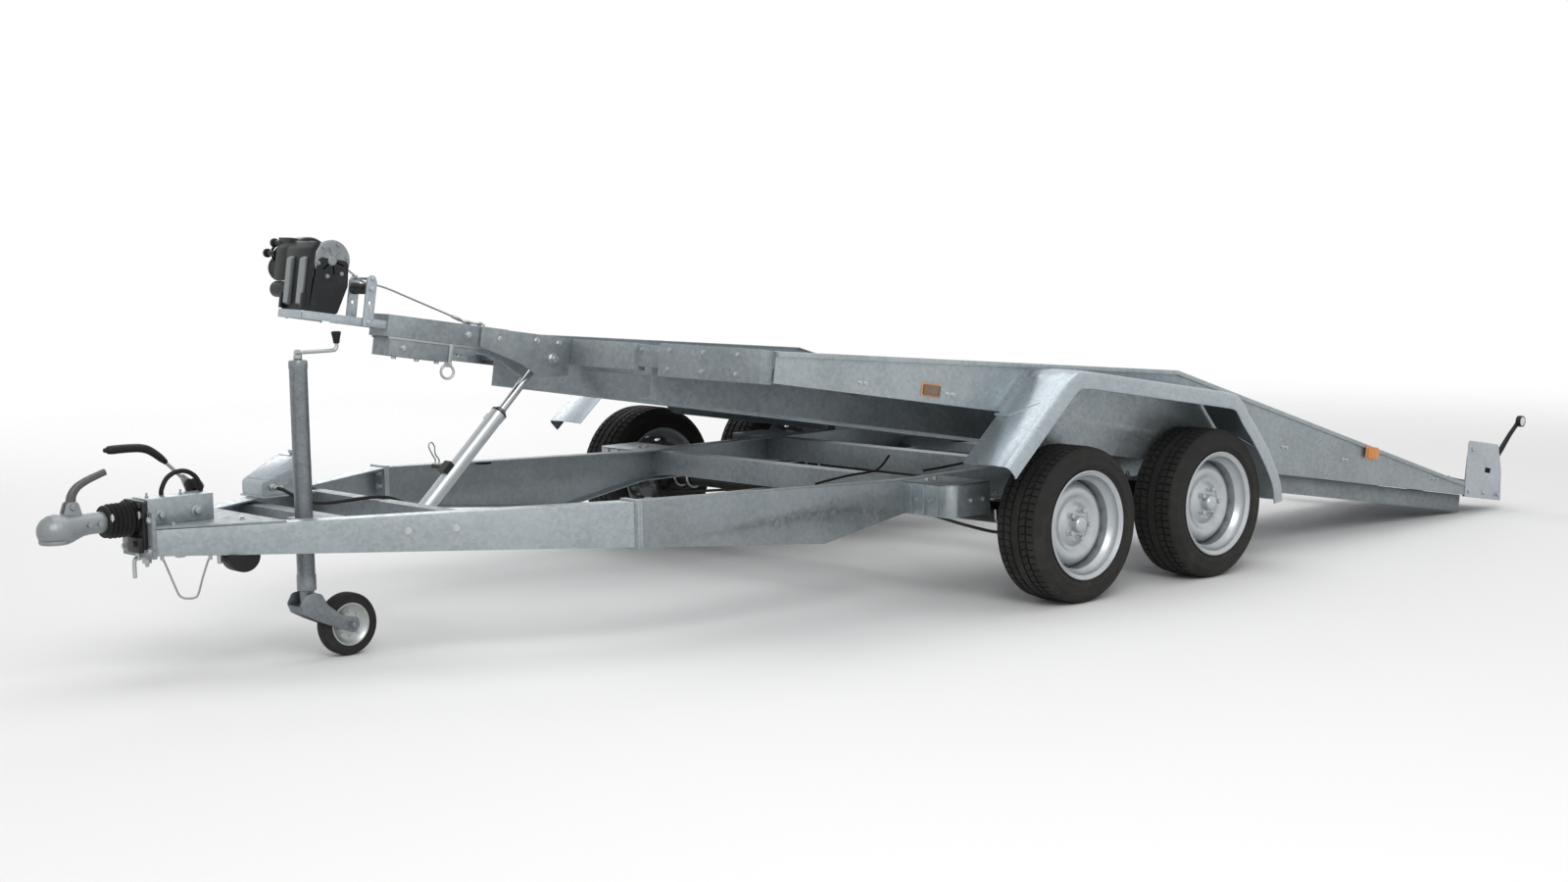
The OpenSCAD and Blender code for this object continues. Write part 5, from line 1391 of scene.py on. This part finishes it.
def mudguards():
    arch = [(-0.742, 0.318), (-0.719, 0.348), (-0.475, 0.634), (-0.440, 0.654), (-0.395, 0.660),
            (0.425, 0.660), (0.465, 0.644), (0.500, 0.604), (0.590, 0.535), (0.680, 0.450), (0.750, 0.365),
            (0.765, 0.300)]
    line = []
    for i, (x, z) in enumerate(arch[:-1]):
        x1, z1 = arch[i + 1]
        count = max(2, round(math.hypot(x1 - x, z1 - z) / 0.03))
        line += [(x + (x1 - x) * k / count, 1.0053, z + (z1 - z) * k / count) for k in range(count)]
    line.append((arch[-1][0], 1.0053, arch[-1][1]))
    for _ in range(2):
        line = [line[0]] + [tuple((a + 2 * b + c) / 4 for a, b, c in zip(p, q, r))
                            for p, q, r in zip(line, line[1:], line[2:])] + [line[-1]]
    w, wall = 0.2000, 0.0024
    outer = [(0, -0.0002), (0.045, 0), (0.050, 0.0022), (0.150, 0.0022), (0.155, 0), (w - 0.020, 0)]
    outer += [(w - 0.020 + 0.020 * math.sin(a), -0.020 + 0.020 * math.cos(a))
              for a in (math.radians(d) for d in (22, 45, 68, 90))]
    outer += [(w, -0.050)]
    bead = [(w - 0.0042 + 0.0042 * math.cos(a), -0.0535 - 0.0042 * math.sin(a))
            for a in (math.radians(d) for d in (10, 50, 90, 130, 170, 215))]
    inner = [(w - wall, -0.048), (w - wall, -0.021)]
    inner += [(w - 0.020 + 0.0176 * math.sin(a), -0.020 + 0.0176 * math.cos(a))
              for a in (math.radians(d) for d in (68, 45, 22))]
    inner += [(w - 0.020, -wall), (0.155, -wall), (0.150, 0.0022 - wall), (0.050, 0.0022 - wall),
              (0.045, -wall), (0, -wall)]
    section = outer + bead + inner
    for s, side in SIDES:
        bm = bmesh.new()
        swept(bm, line, section)
        # Turned-up inner edge with its brackets to the rail
        block(bm, -0.330, 0.420, 0.9953, 1.0085, 0.6430, 0.6575)
        for x in (-0.27, 0.02, 0.34):
            hexagon(bm, (x, 1.0070, 0.6495), (0, 1, 0), 0.013, 0.008)
        for x0, z0, x1, z1 in ((-0.600, 0.4885, -0.556, 0.541), (0.610, 0.518, 0.650, 0.480)):
            bar(bm, [(x0, 0.9965, z0), (x0, 1.060, z0), (x1, 1.150, z1 - 0.006)], 0.0055, 10, steps=4)
        place = BED @ MIRROR if s < 0 else BED
        finish(bm, f"mudguard_sheet_{side}", ZINC_SHEET, "bed", "galvanised", f"mudguard_{side}", place=place,
               smooth=28)


mudguards()


# Lamps, reflectors and the plates at the tail

def lamps():
    for s, side in SIDES:
        place = BED @ MIRROR if s < 0 else BED
        # A reflector on the rail's web in front, and one on its lip behind; the front lens takes the darker amber copy,
        # which is painted shade
        bm = bmesh.new()
        places = ((-0.962, -0.878, 0.517, 0.560, 0.9953), (1.550, 1.630, 0.492, 0.542, 1.0053))
        for x0, x1, z0, z1, y in places:
            plate(bm, rounded([(x0, z0), (x1, z0), (x1, z1), (x0, z1)], 0.006), y, y + 0.0045)
        block(bm, 1.562, 1.618, 0.9952, 1.0060, 0.500, 0.506)
        for i, (x0, x1, z0, z1, y) in enumerate(places):
            lens = len(bm.faces)
            plate(bm, rounded([(x0 + 0.004, z0 + 0.004), (x1 - 0.004, z0 + 0.004), (x1 - 0.004, z1 - 0.004),
                               (x0 + 0.004, z1 - 0.004)], 0.005), y + 0.0040, y + 0.0115)
            paint(bm, lens, i + 1)
        finish(bm, f"side_reflectors_{side}", [REFLECTOR_BASE, AMBER_SHADED, AMBER], "bed", "amber",
               "side_lamps", place=place, bevel=0.0008, smooth=35)

        # Rubber arm with a two-sided marker lamp
        bm = bmesh.new()
        x0, z0, x1, z1 = 2.531, 0.542, 2.706, 0.732
        arm = [(x0 - 0.004, 0.985, z0 - 0.010), (x0 + 0.012, 0.983, z0 + 0.020), (x0 + 0.060, 0.981, z0 + 0.070),
               (x0 + 0.110, 0.979, z0 + 0.125), (x0 + 0.150, 0.978, z0 + 0.163), (x1 - 0.010, 0.978, z1 - 0.012)]
        bar(bm, arm, [0.0130, 0.0125, 0.0110, 0.0095, 0.0090, 0.0095], 18, steps=6)
        turned(bm, [(0.0200, -0.0115), (0.0232, -0.0105), (0.0240, 0.0), (0.0232, 0.0105), (0.0200, 0.0115),
                    (0.0200, -0.0115)], (x1, 0.987, z1), (0, 1, 0), 40)
        block(bm, x0 - 0.017, x0 + 0.017, 0.975, 0.9950, z0 - 0.026, z0 + 0.012)
        rubber = len(bm.faces)
        turned(bm, [(0.0202, 0), (0.0195, 0.0100), (0.0150, 0.0128), (0.0060, 0.0140), (0, 0.0142), (0, 0)],
               (x1, 0.987, z1), (0, 1, 0), 36)
        glass = len(bm.faces)
        turned(bm, [(0.0202, 0), (0.0195, 0.0100), (0.0150, 0.0128), (0.0060, 0.0140), (0, 0.0142), (0, 0)],
               (x1, 0.987, z1), (0, -1, 0), 36)
        paint(bm, rubber, 1)
        paint(bm, glass, 2)
        finish(bm, f"marker_lamp_{side}", [RUBBER, CLEAR, RED], "bed", "black_rubber",
               "marker_lamps", place=place, smooth=40)

        # Tail plate with its slot, folded edge and the rear lamp inside it
        bm = bmesh.new()
        low = 0.389
        outline = [(2.310, low), (2.590, low), (2.572, low + 0.128), (2.530, low + 0.232), (2.300, low + 0.232)]
        plate(bm, rounded(outline, [0.004, 0.006, 0.05, 0.012, 0.012]), 0.9952, 0.9985,
              [rounded([(2.445, 0.498), (2.492, 0.496), (2.494, 0.516), (2.447, 0.520)], 0.004)])
        block(bm, 2.500, 2.560, 0.9700, 0.9953, 0.4290, 0.4335)
        for x, z in ((2.335, 0.412), (2.450, 0.412), (2.560, 0.412), (2.335, 0.585)):
            hexagon(bm, (x, 0.9984, z), (0, 1, 0), 0.014, 0.008)
        finish(bm, f"tail_plate_{side}", ZINC_PALE, "bed", "galvanised", "lamp_plates",
               place=place, bevel=0.0008, smooth=35)
        bm = bmesh.new()
        block(bm, 2.518, 2.545, 0.862, 0.9945, 0.4502, 0.566)
        black = len(bm.faces)
        for i, (y0, y1) in enumerate(((0.865, 0.906), (0.908, 0.949), (0.951, 0.992))):
            block(bm, 2.544, 2.559, y0, y1, 0.454, 0.562)
            paint(bm, black + 6 * i, i + 1)
        finish(bm, f"rear_lamp_{side}", [PLASTIC, CLEAR, RED, AMBER], "bed", "amber", place=place,
               bevel=0.002, smooth=35)
        # Strip of lamps' cable clipped inside the rail
        bm = bmesh.new()
        bar(bm, [(2.520, 0.900, 0.452), (2.440, 0.930, 0.440), (2.360, 0.962, 0.442), (2.200, 0.985, 0.430),
                 (1.600, 0.985, 0.440), (0.900, 0.985, 0.440), (0.30, 0.985, 0.440), (-0.20, 0.985, 0.445)],
            0.004, 8, steps=6)
        finish(bm, f"lamp_cable_{side}", RUBBER, "bed", "black_rubber", place=place, smooth=60)


lamps()


# Springs, axles and the boxes of the hangers

def running_gear():
    for s, side in SIDES:
        place = CAR @ MIRROR if s < 0 else CAR
        bm = bmesh.new()
        for x in (-AXLE_HALF, AXLE_HALF):
            # U-bolts round the axle, their plate and nuts, and the clips of the leaves
            for y in (0.8125, 0.8875):
                u = [(x - 0.036, y, 0.352), (x - 0.036, y, 0.300), (x - 0.036, y, 0.2625)]
                u += [(x - 0.036 * math.cos(a), y, 0.2625 - 0.036 * math.sin(a))
                      for a in (math.pi * k / 10 for k in range(1, 10))]
                u += [(x + 0.036, y, 0.2625), (x + 0.036, y, 0.300), (x + 0.036, y, 0.352)]
                bar(bm, u, 0.0055, 12, steps=2)
                for dx in (-0.036, 0.036):
                    hexagon(bm, (x + dx, y, 0.3285), (0, 0, 1), 0.018, 0.011)
            block(bm, x - 0.055, x + 0.055, 0.800, 0.900, 0.3204, 0.3285)
            for dx in (-0.190, 0.190):
                low = 0.3019 + dx * dx / 2
                for y in (0.8165, 0.8805):
                    block(bm, x + dx - 0.011, x + dx + 0.011, y, y + 0.003, low - 0.003, low + 0.026)
                rod(bm, (x + dx, 0.814, low + 0.0228), (x + dx, 0.886, low + 0.0228), 0.0035, 10)
            for dx in (-0.300, 0.300):
                for y, facing in ((0.804, -1), (0.896, 1)):
                    hexagon(bm, (x + dx, y - 0.002 * facing, 0.3616), (0, facing, 0), 0.022, 0.012)
        finish(bm, f"spring_fittings_{side}", BOLT_STEEL, "chassis", "spring_steel", place=place, bevel=0.0006,
               smooth=35)

        # Box round the front hanger: ribbed front wall and a rounded outer corner
        bm = bmesh.new()
        corner = [(-0.7330, 0.7103), (-0.7330, 0.895)]
        corner += [(-0.698 - 0.035 * math.cos(a), 0.895 + 0.035 * math.sin(a))
                   for a in (math.pi / 2 * i / 8 for i in range(1, 9))]
        corner += [(-0.545, 0.930), (-0.545, 0.9262)]
        corner += [(-0.698 - 0.0312 * math.cos(a), 0.895 + 0.0312 * math.sin(a))
                   for a in (math.pi / 2 * i / 8 for i in range(8, 0, -1))]
        corner += [(-0.7292, 0.895), (-0.7292, 0.7103)]
        plate(bm, corner, 0.300, 0.4085, (), LAID)
        lid = [(-0.7330, 0.7103), (-0.7330, 0.895)] + corner[2:10] + [(-0.545, 0.930), (-0.545, 0.7103)]
        plate(bm, lid, 0.4060, 0.4098, (), LAID)
        for y in (0.742, 0.800, 0.862):
            block(bm, -0.7385, -0.7325, y, y + 0.010, 0.303, 0.405)
        for y in (0.770, 0.832):
            hexagon(bm, (-0.7330, y, 0.352), (-1, 0, 0), 0.016, 0.009)
        for x in (-0.640, -0.580):
            hexagon(bm, (x, 0.9300, 0.352), (0, 1, 0), 0.014, 0.008)
        hanger = [(-0.687, 0.386), (-0.619, 0.386), (-0.619, 0.335), (-0.687, 0.335)]
        for y in (0.810, 0.884):
            plate(bm, rounded(hanger, 0.008), y, y + 0.006)
        for x0, x1 in ((-0.079, 0.079), (0.619, 0.687)):
            block(bm, x0, x1, 0.7103, 0.892, 0.3862, 0.4098)
            for y in (0.810, 0.884):
                plate(bm, rounded([(x0, 0.388), (x1, 0.388), (x1, 0.336), (x0, 0.336)],
                                  [0.001, 0.001, 0.014, 0.014]), y, y + 0.006)
        block(bm, -0.687, -0.619, 0.7103, 0.892, 0.3862, 0.4062)
        for x in (-0.653, -0.053, 0.053, 0.653):
            rod(bm, (x, 0.806, 0.3616), (x, 0.894, 0.3616), 0.0079, 18)
        finish(bm, f"hanger_boxes_{side}", ZINC, "chassis", "galvanised", "spring_hangers",
               place=place, bevel=0.0012, smooth=35)

        # Brake back plates' rims, and the brake cables to the middle of the axles
        bm = bmesh.new()
        for x in (-AXLE_HALF, AXLE_HALF):
            turned(bm, [(0.100, 0.9065), (0.113, 0.9065), (0.1145, 0.910), (0.1145, 0.9165), (0.108, 0.9168),
                        (0.100, 0.9110), (0.100, 0.9065)], (x, 0, TYRE_R), (0, 1, 0), 48)
            for i in range(4):
                a = math.pi / 2 * i + 0.6
                hexagon(bm, (x + 0.052 * math.cos(a), 0.9105, TYRE_R + 0.052 * math.sin(a)), (0, -1, 0), 0.015, 0.010)
            rod(bm, (x - 0.070, 0.912, TYRE_R - 0.045), (x - 0.070, 0.880, TYRE_R - 0.045), 0.009, 14)
            bar(bm, [(x - 0.070, 0.884, TYRE_R - 0.045), (x - 0.073, 0.820, TYRE_R - 0.047),
                     (x - 0.070, 0.680, TYRE_R - 0.035), (x - 0.060, 0.500, TYRE_R - 0.015),
                     (x - 0.050, 0.320, TYRE_R), (x - 0.048, 0.064, TYRE_R + 0.006)], 0.0055, 10, steps=6)
        finish(bm, f"brake_parts_{side}", BLACK_PAINT, "chassis", "spring_steel", place=place, smooth=40)

        # Stop for the bed and the stub beside the front hanger
        bm = bmesh.new()
        rod(bm, (-0.451, 0.930, 0.246), (-0.451, 0.905, 0.246), 0.010, 16)
        turned(bm, [(0, 0), (0.030, 0), (0.030, 0.003), (0.024, 0.005), (0, 0.005)], (-1.450, 0.680, 0.4275), sides=28)
        finish(bm, f"rubber_stops_{side}", RUBBER, "chassis", "black_rubber", place=place, smooth=40)
    bm = bmesh.new()
    rod(bm, (-2.990, 0.064, 0.352), (-0.430, 0.064, 0.306), 0.0060, 12)
    for x in (-2.985, -1.200):
        z = 0.352 - (x + 2.990) * 0.046 / 2.56
        block(bm, x - 0.012, x + 0.012, 0.054, 0.074, z - 0.014, z + 0.014)
    block(bm, -0.430, -0.405, -0.080, 0.180, 0.270, 0.312)
    finish(bm, "brake_rod", PLATED, "chassis", "cast_metal", bevel=0.0006, smooth=40)


running_gear()


# Bolts on the joints and cross members

def joint_bolts():
    places = []
    for s in (-1, 1):
        for x, facing in ((-1.8702, 1), (-1.8898, -1)):
            for y, z in ((0.668, 0.345), (0.668, 0.392), (0.668, 0.437)):
                places.append(((x + 0.0002 * facing, s * y, z), (facing, 0, 0), 0.024))
        for x in (-0.630, -0.030):
            for dx in (-0.018, 0.018):
                places.append(((x + dx, s * 0.7102, 0.372), (0, s, 0), 0.018))
        for x in (-0.653, 0.653):
            for dx in (-0.018, 0.018):
                places.append(((x + dx, s * 0.760, 0.4098), (0, 0, 1), 0.018))
        for y in (0.6498, 0.7082):
            places.append(((0.350, s * y, 0.500), (0, s if y > 0.7 else -s, 0), 0.030))
        out = Vector((-math.sin(ARM_TURN), math.cos(ARM_TURN), 0))
        for x in (-2.499, -2.372):
            places.append(((x, s * (arm_y(x) + 0.0003), 0.408), (out.x, s * out.y, 0), 0.018))
    for y, z in ((-0.075, 0.390), (0.075, 0.390), (-0.075, 0.478), (0.075, 0.478)):
        places.append(((-3.1522, y, z), (-1, 0, 0), 0.019))
    for x, y in ((-3.080, 0.075), (-3.080, -0.075), (-2.880, 0.120), (-2.880, -0.120)):
        places.append(((x, y, 0.4575), (0, 0, 1), 0.016))
    bolts("chassis_bolts", "chassis", "cast_metal", places)
    places = []
    for s in (-1, 1):
        for x in (-1.225, -0.825, -0.415, 0.645, 1.025, 1.425, 2.075):
            drop = 0.560 if x < 0.33 else 0.560 - (x - 0.33) * 0.112 / 2.22
            for dx in (-0.012, 0.012):
                places.append(((x + dx, s * 0.9952, drop - 0.026), (0, s, 0), 0.013))
        for y in (0.56, 0.72, 0.88):
            for z in (0.515, 0.575):
                places.append(((-1.6502, s * y, z), (-1, 0, 0), 0.014))
        for y in (0.40, 0.49):
            places.append(((-1.6302, s * y, 0.572), (-1, 0, 0), 0.014))
        for x in (-1.790, -1.700):
            places.append(((x, s * 0.0590, 0.570), (0, s, 0), 0.018))
        places.append(((-1.719, s * 0.0590, 0.5195), (0, s, 0), 0.030))
    bolts("bed_bolts", "bed", "cast_metal", places, place=BED)


joint_bolts()


# Runways: rows of small raised studs between the ribs

def make_stud_tree():
    """A low round stud at every point of a grid."""
    tree = bpy.data.node_groups.new("deck_studs", "GeometryNodeTree")
    for label, kind, value in (("Places", "Geometry", None), ("Foot radius", "Float", 0.006),
                               ("Top radius", "Float", 0.0042), ("Height", "Float", 0.0024),
                               ("Material", "Material", None)):
        socket = tree.interface.new_socket(label, in_out="INPUT", socket_type="NodeSocket" + kind)
        if value is not None:
            socket.default_value = value
    tree.interface.new_socket("Studs", in_out="OUTPUT", socket_type="NodeSocketGeometry")
    start, end = tree.nodes.new("NodeGroupInput"), tree.nodes.new("NodeGroupOutput")
    cone = tree.nodes.new("GeometryNodeMeshCone")
    cone.inputs["Vertices"].default_value = 8
    for label, socket in (("Foot radius", "Radius Bottom"), ("Top radius", "Radius Top"), ("Height", "Depth")):
        tree.links.new(start.outputs[label], cone.inputs[socket])
    facing = tree.nodes.new("FunctionNodeAlignRotationToVector")
    facing.axis = "Z"
    tree.links.new(field(tree, "facing", "FLOAT_VECTOR"), facing.inputs["Vector"])
    spread = tree.nodes.new("GeometryNodeInstanceOnPoints")
    tree.links.new(start.outputs["Places"], spread.inputs["Points"])
    tree.links.new(cone.outputs["Mesh"], spread.inputs["Instance"])
    tree.links.new(facing.outputs["Rotation"], spread.inputs["Rotation"])
    real = tree.nodes.new("GeometryNodeRealizeInstances")
    coat = tree.nodes.new("GeometryNodeSetMaterial")
    tree.links.new(spread.outputs["Instances"], real.inputs["Geometry"])
    tree.links.new(real.outputs["Geometry"], coat.inputs["Geometry"])
    tree.links.new(start.outputs["Material"], coat.inputs["Material"])
    tree.links.new(coat.outputs["Geometry"], end.inputs["Studs"])
    return tree


def deck_z(x):
    return 0.560 if x < 0.330 else 0.560 - (x - 0.330) * 0.112 / 2.220


def deck_studs():
    tree = make_stud_tree()
    ids = inputs_of(tree)
    slope = math.atan(0.112 / 2.220)
    for s, side in SIDES:
        points, normals = [], []
        x = -1.570
        while x < 2.530:
            across = (x + 1.490) % 0.150
            if not -0.012 < across < 0.042 and across < 0.138:
                for i in range(12):
                    y = 0.475 + i * 0.0405
                    if y < 0.935:
                        points.append(BED @ Vector((x, s * y, deck_z(x) - 0.0003)))
                        up = (0, 0, 1) if x < 0.33 else (math.sin(slope), 0, math.cos(slope))
                        normals += list(BED.to_3x3() @ Vector(up))
            x += 0.0365
        mesh = bpy.data.meshes.new(f"deck_studs_{side}")
        mesh.from_pydata(points, [], [])
        facing = mesh.attributes.new("facing", "FLOAT_VECTOR", "POINT")
        facing.data.foreach_set("vector", normals)
        obj = bpy.data.objects.new(mesh.name, mesh)
        bpy.context.scene.collection.objects.link(obj)
        mod = obj.modifiers.new("studs", "NODES")
        mod.node_group = tree
        mod[ids["Material"]] = ZINC_SHEET
        bpy.context.view_layer.update()
        evaluated(obj)
        dress(obj, "bed", smooth=30)


deck_studs()


# Rings and loops for lashing, and the loose cables under the bed

def lashing_and_cables():
    bm = bmesh.new()
    for s in (-1, 1):
        for x in (-1.45, -0.70, 0.15, 1.20, 2.10):
            z = deck_z(x)
            y = s * 0.4215
            block(bm, x - 0.022, x + 0.022, y - 0.0035, y + 0.0035, z - 0.052, z - 0.012)
            ring(bm, (x, y - s * 0.012, z - 0.058), 0.020, 0.0045, (0, 1, 0.3 * s))
    finish(bm, "lashing_rings", PLATED, "bed", "cast_metal", place=BED, smooth=45)
    bm = bmesh.new()
    bar(bm, [(-0.940, -0.500, 0.402), (-0.880, -0.500, 0.408), (-0.760, -0.480, 0.4125), (-0.668, -0.470, 0.4125),
             (-0.610, -0.455, 0.4135), (-0.560, -0.440, 0.430), (-0.520, -0.430, 0.455)], 0.0042, 10, steps=6)
    bar(bm, [(-0.420, -0.500, 0.398), (-0.300, -0.500, 0.402), (-0.160, -0.500, 0.4110), (-0.070, -0.495, 0.428),
             (-0.010, -0.490, 0.452)], 0.0042, 10, steps=6)
    bar(bm, [(-2.470, -0.395, 0.3615), (-2.200, -0.528, 0.3505), (-1.900, -0.655, 0.333), (-1.500, -0.690, 0.300)],
        0.0042, 10, steps=6)
    finish(bm, "under_cables", RUBBER, "chassis", "black_rubber", smooth=60)


lashing_and_cables()


# Camera and light

def photo_camera():
    """Stands where the photograph was taken: angles in radians, focal length in photo pixels."""
    yaw, pitch, roll, focal, across, down = -0.76484, 0.11905, -0.013495, 2496.6, 53.1, 25.4
    ahead = Vector((-math.sin(yaw) * math.cos(pitch), math.cos(yaw) * math.cos(pitch), -math.sin(pitch)))
    level = Vector((math.cos(yaw), math.sin(yaw), 0))
    up = level.cross(ahead)
    right = level * math.cos(roll) + up * math.sin(roll)
    up = up * math.cos(roll) - level * math.sin(roll)
    turn = Matrix((right, up, -ahead)).transposed()
    data = bpy.data.cameras.new("photo_camera")
    data.sensor_width = 36
    data.lens = focal * 36 / 1600
    data.shift_x, data.shift_y = -across / 1600, down / 1600
    data.clip_end = 200
    camera = bpy.data.objects.new("photo_camera", data)
    camera.matrix_world = Matrix.Translation(CAR @ Vector((-6.5239, -6.4185, 1.4351))) @ turn.to_4x4()
    bpy.context.scene.collection.objects.link(camera)
    bpy.context.scene.camera = camera


def studio():
    world = bpy.data.worlds.new("studio")
    bpy.context.scene.world = world
    world.use_nodes = True
    tree = world.node_tree
    back = tree.nodes["Background"]
    rays = tree.nodes.new("ShaderNodeLightPath")
    seen = tree.nodes.new("ShaderNodeMath")
    seen.operation = "MAXIMUM"
    tree.links.new(rays.outputs["Is Camera Ray"], seen.inputs[0])
    tree.links.new(rays.outputs["Is Transmission Ray"], seen.inputs[1])
    both = tree.nodes.new("ShaderNodeMath")
    both.operation = "MAXIMUM"
    tree.links.new(seen.outputs[0], both.inputs[0])
    tree.links.new(rays.outputs["Is Glossy Ray"], both.inputs[1])
    level = tree.nodes.new("ShaderNodeMapRange")
    level.inputs["To Min"].default_value = 0.55
    level.inputs["To Max"].default_value = 1.0
    tree.links.new(both.outputs[0], level.inputs["Value"])
    back.inputs["Color"].default_value = (1, 1, 1, 1)
    tree.links.new(level.outputs["Result"], back.inputs["Strength"])

    bm = bmesh.new()
    turned(bm, [(0, 0), (5, 0), (8, 0), (12, 0)], sides=96)
    mesh = bpy.data.meshes.new("floor")
    bm.to_mesh(mesh)
    bm.free()
    floor = bpy.data.objects.new("floor", mesh)
    floor.location.z = -0.0005
    bpy.context.scene.collection.objects.link(floor)
    made, tree, shader = start_material("pale_floor")
    shader.inputs["Base Color"].default_value = (0.86, 0.86, 0.86, 1)
    shader.inputs["Roughness"].default_value = 0.9
    shader.inputs["Specular IOR Level"].default_value = 0.1
    place = node(tree, "TexCoord").outputs["Object"]
    far = node(tree, "VectorMath", [(0, place)], operation="LENGTH")
    fade = ramp(tree, far.outputs["Value"], (3.5, 8.5, 0, 1))
    gone = node(tree, "BsdfTransparent")
    mix = node(tree, "MixShader", [(0, fade), (1, shader.outputs[0]), (2, gone.outputs[0])])
    tree.links.new(mix.outputs[0], tree.nodes["Material Output"].inputs["Surface"])
    mesh.materials.append(made)

    for name, spot, aim, size, power in (
            ("key", (-4.5, -6.0, 5.5), (0, 0, 0.4), 4.0, 260),
            ("top", (0.5, 0.5, 6.5), (0, 0, 0), 6.0, 160),
            ("far_side", (2.0, 7.0, 4.0), (0, 0, 0.5), 4.0, 120)):
        data = bpy.data.lights.new(name, "AREA")
        data.size, data.energy = size, power
        lamp = bpy.data.objects.new(name, data)
        lamp.location = spot
        lamp.rotation_euler = (Vector(aim) - Vector(spot)).to_track_quat("-Z", "Y").to_euler()
        bpy.context.scene.collection.objects.link(lamp)


photo_camera()
studio()
bpy.context.scene.view_settings.view_transform = "Standard"


def corners(bounds):
    return [[float(c) for c in corner] for corner in bounds]
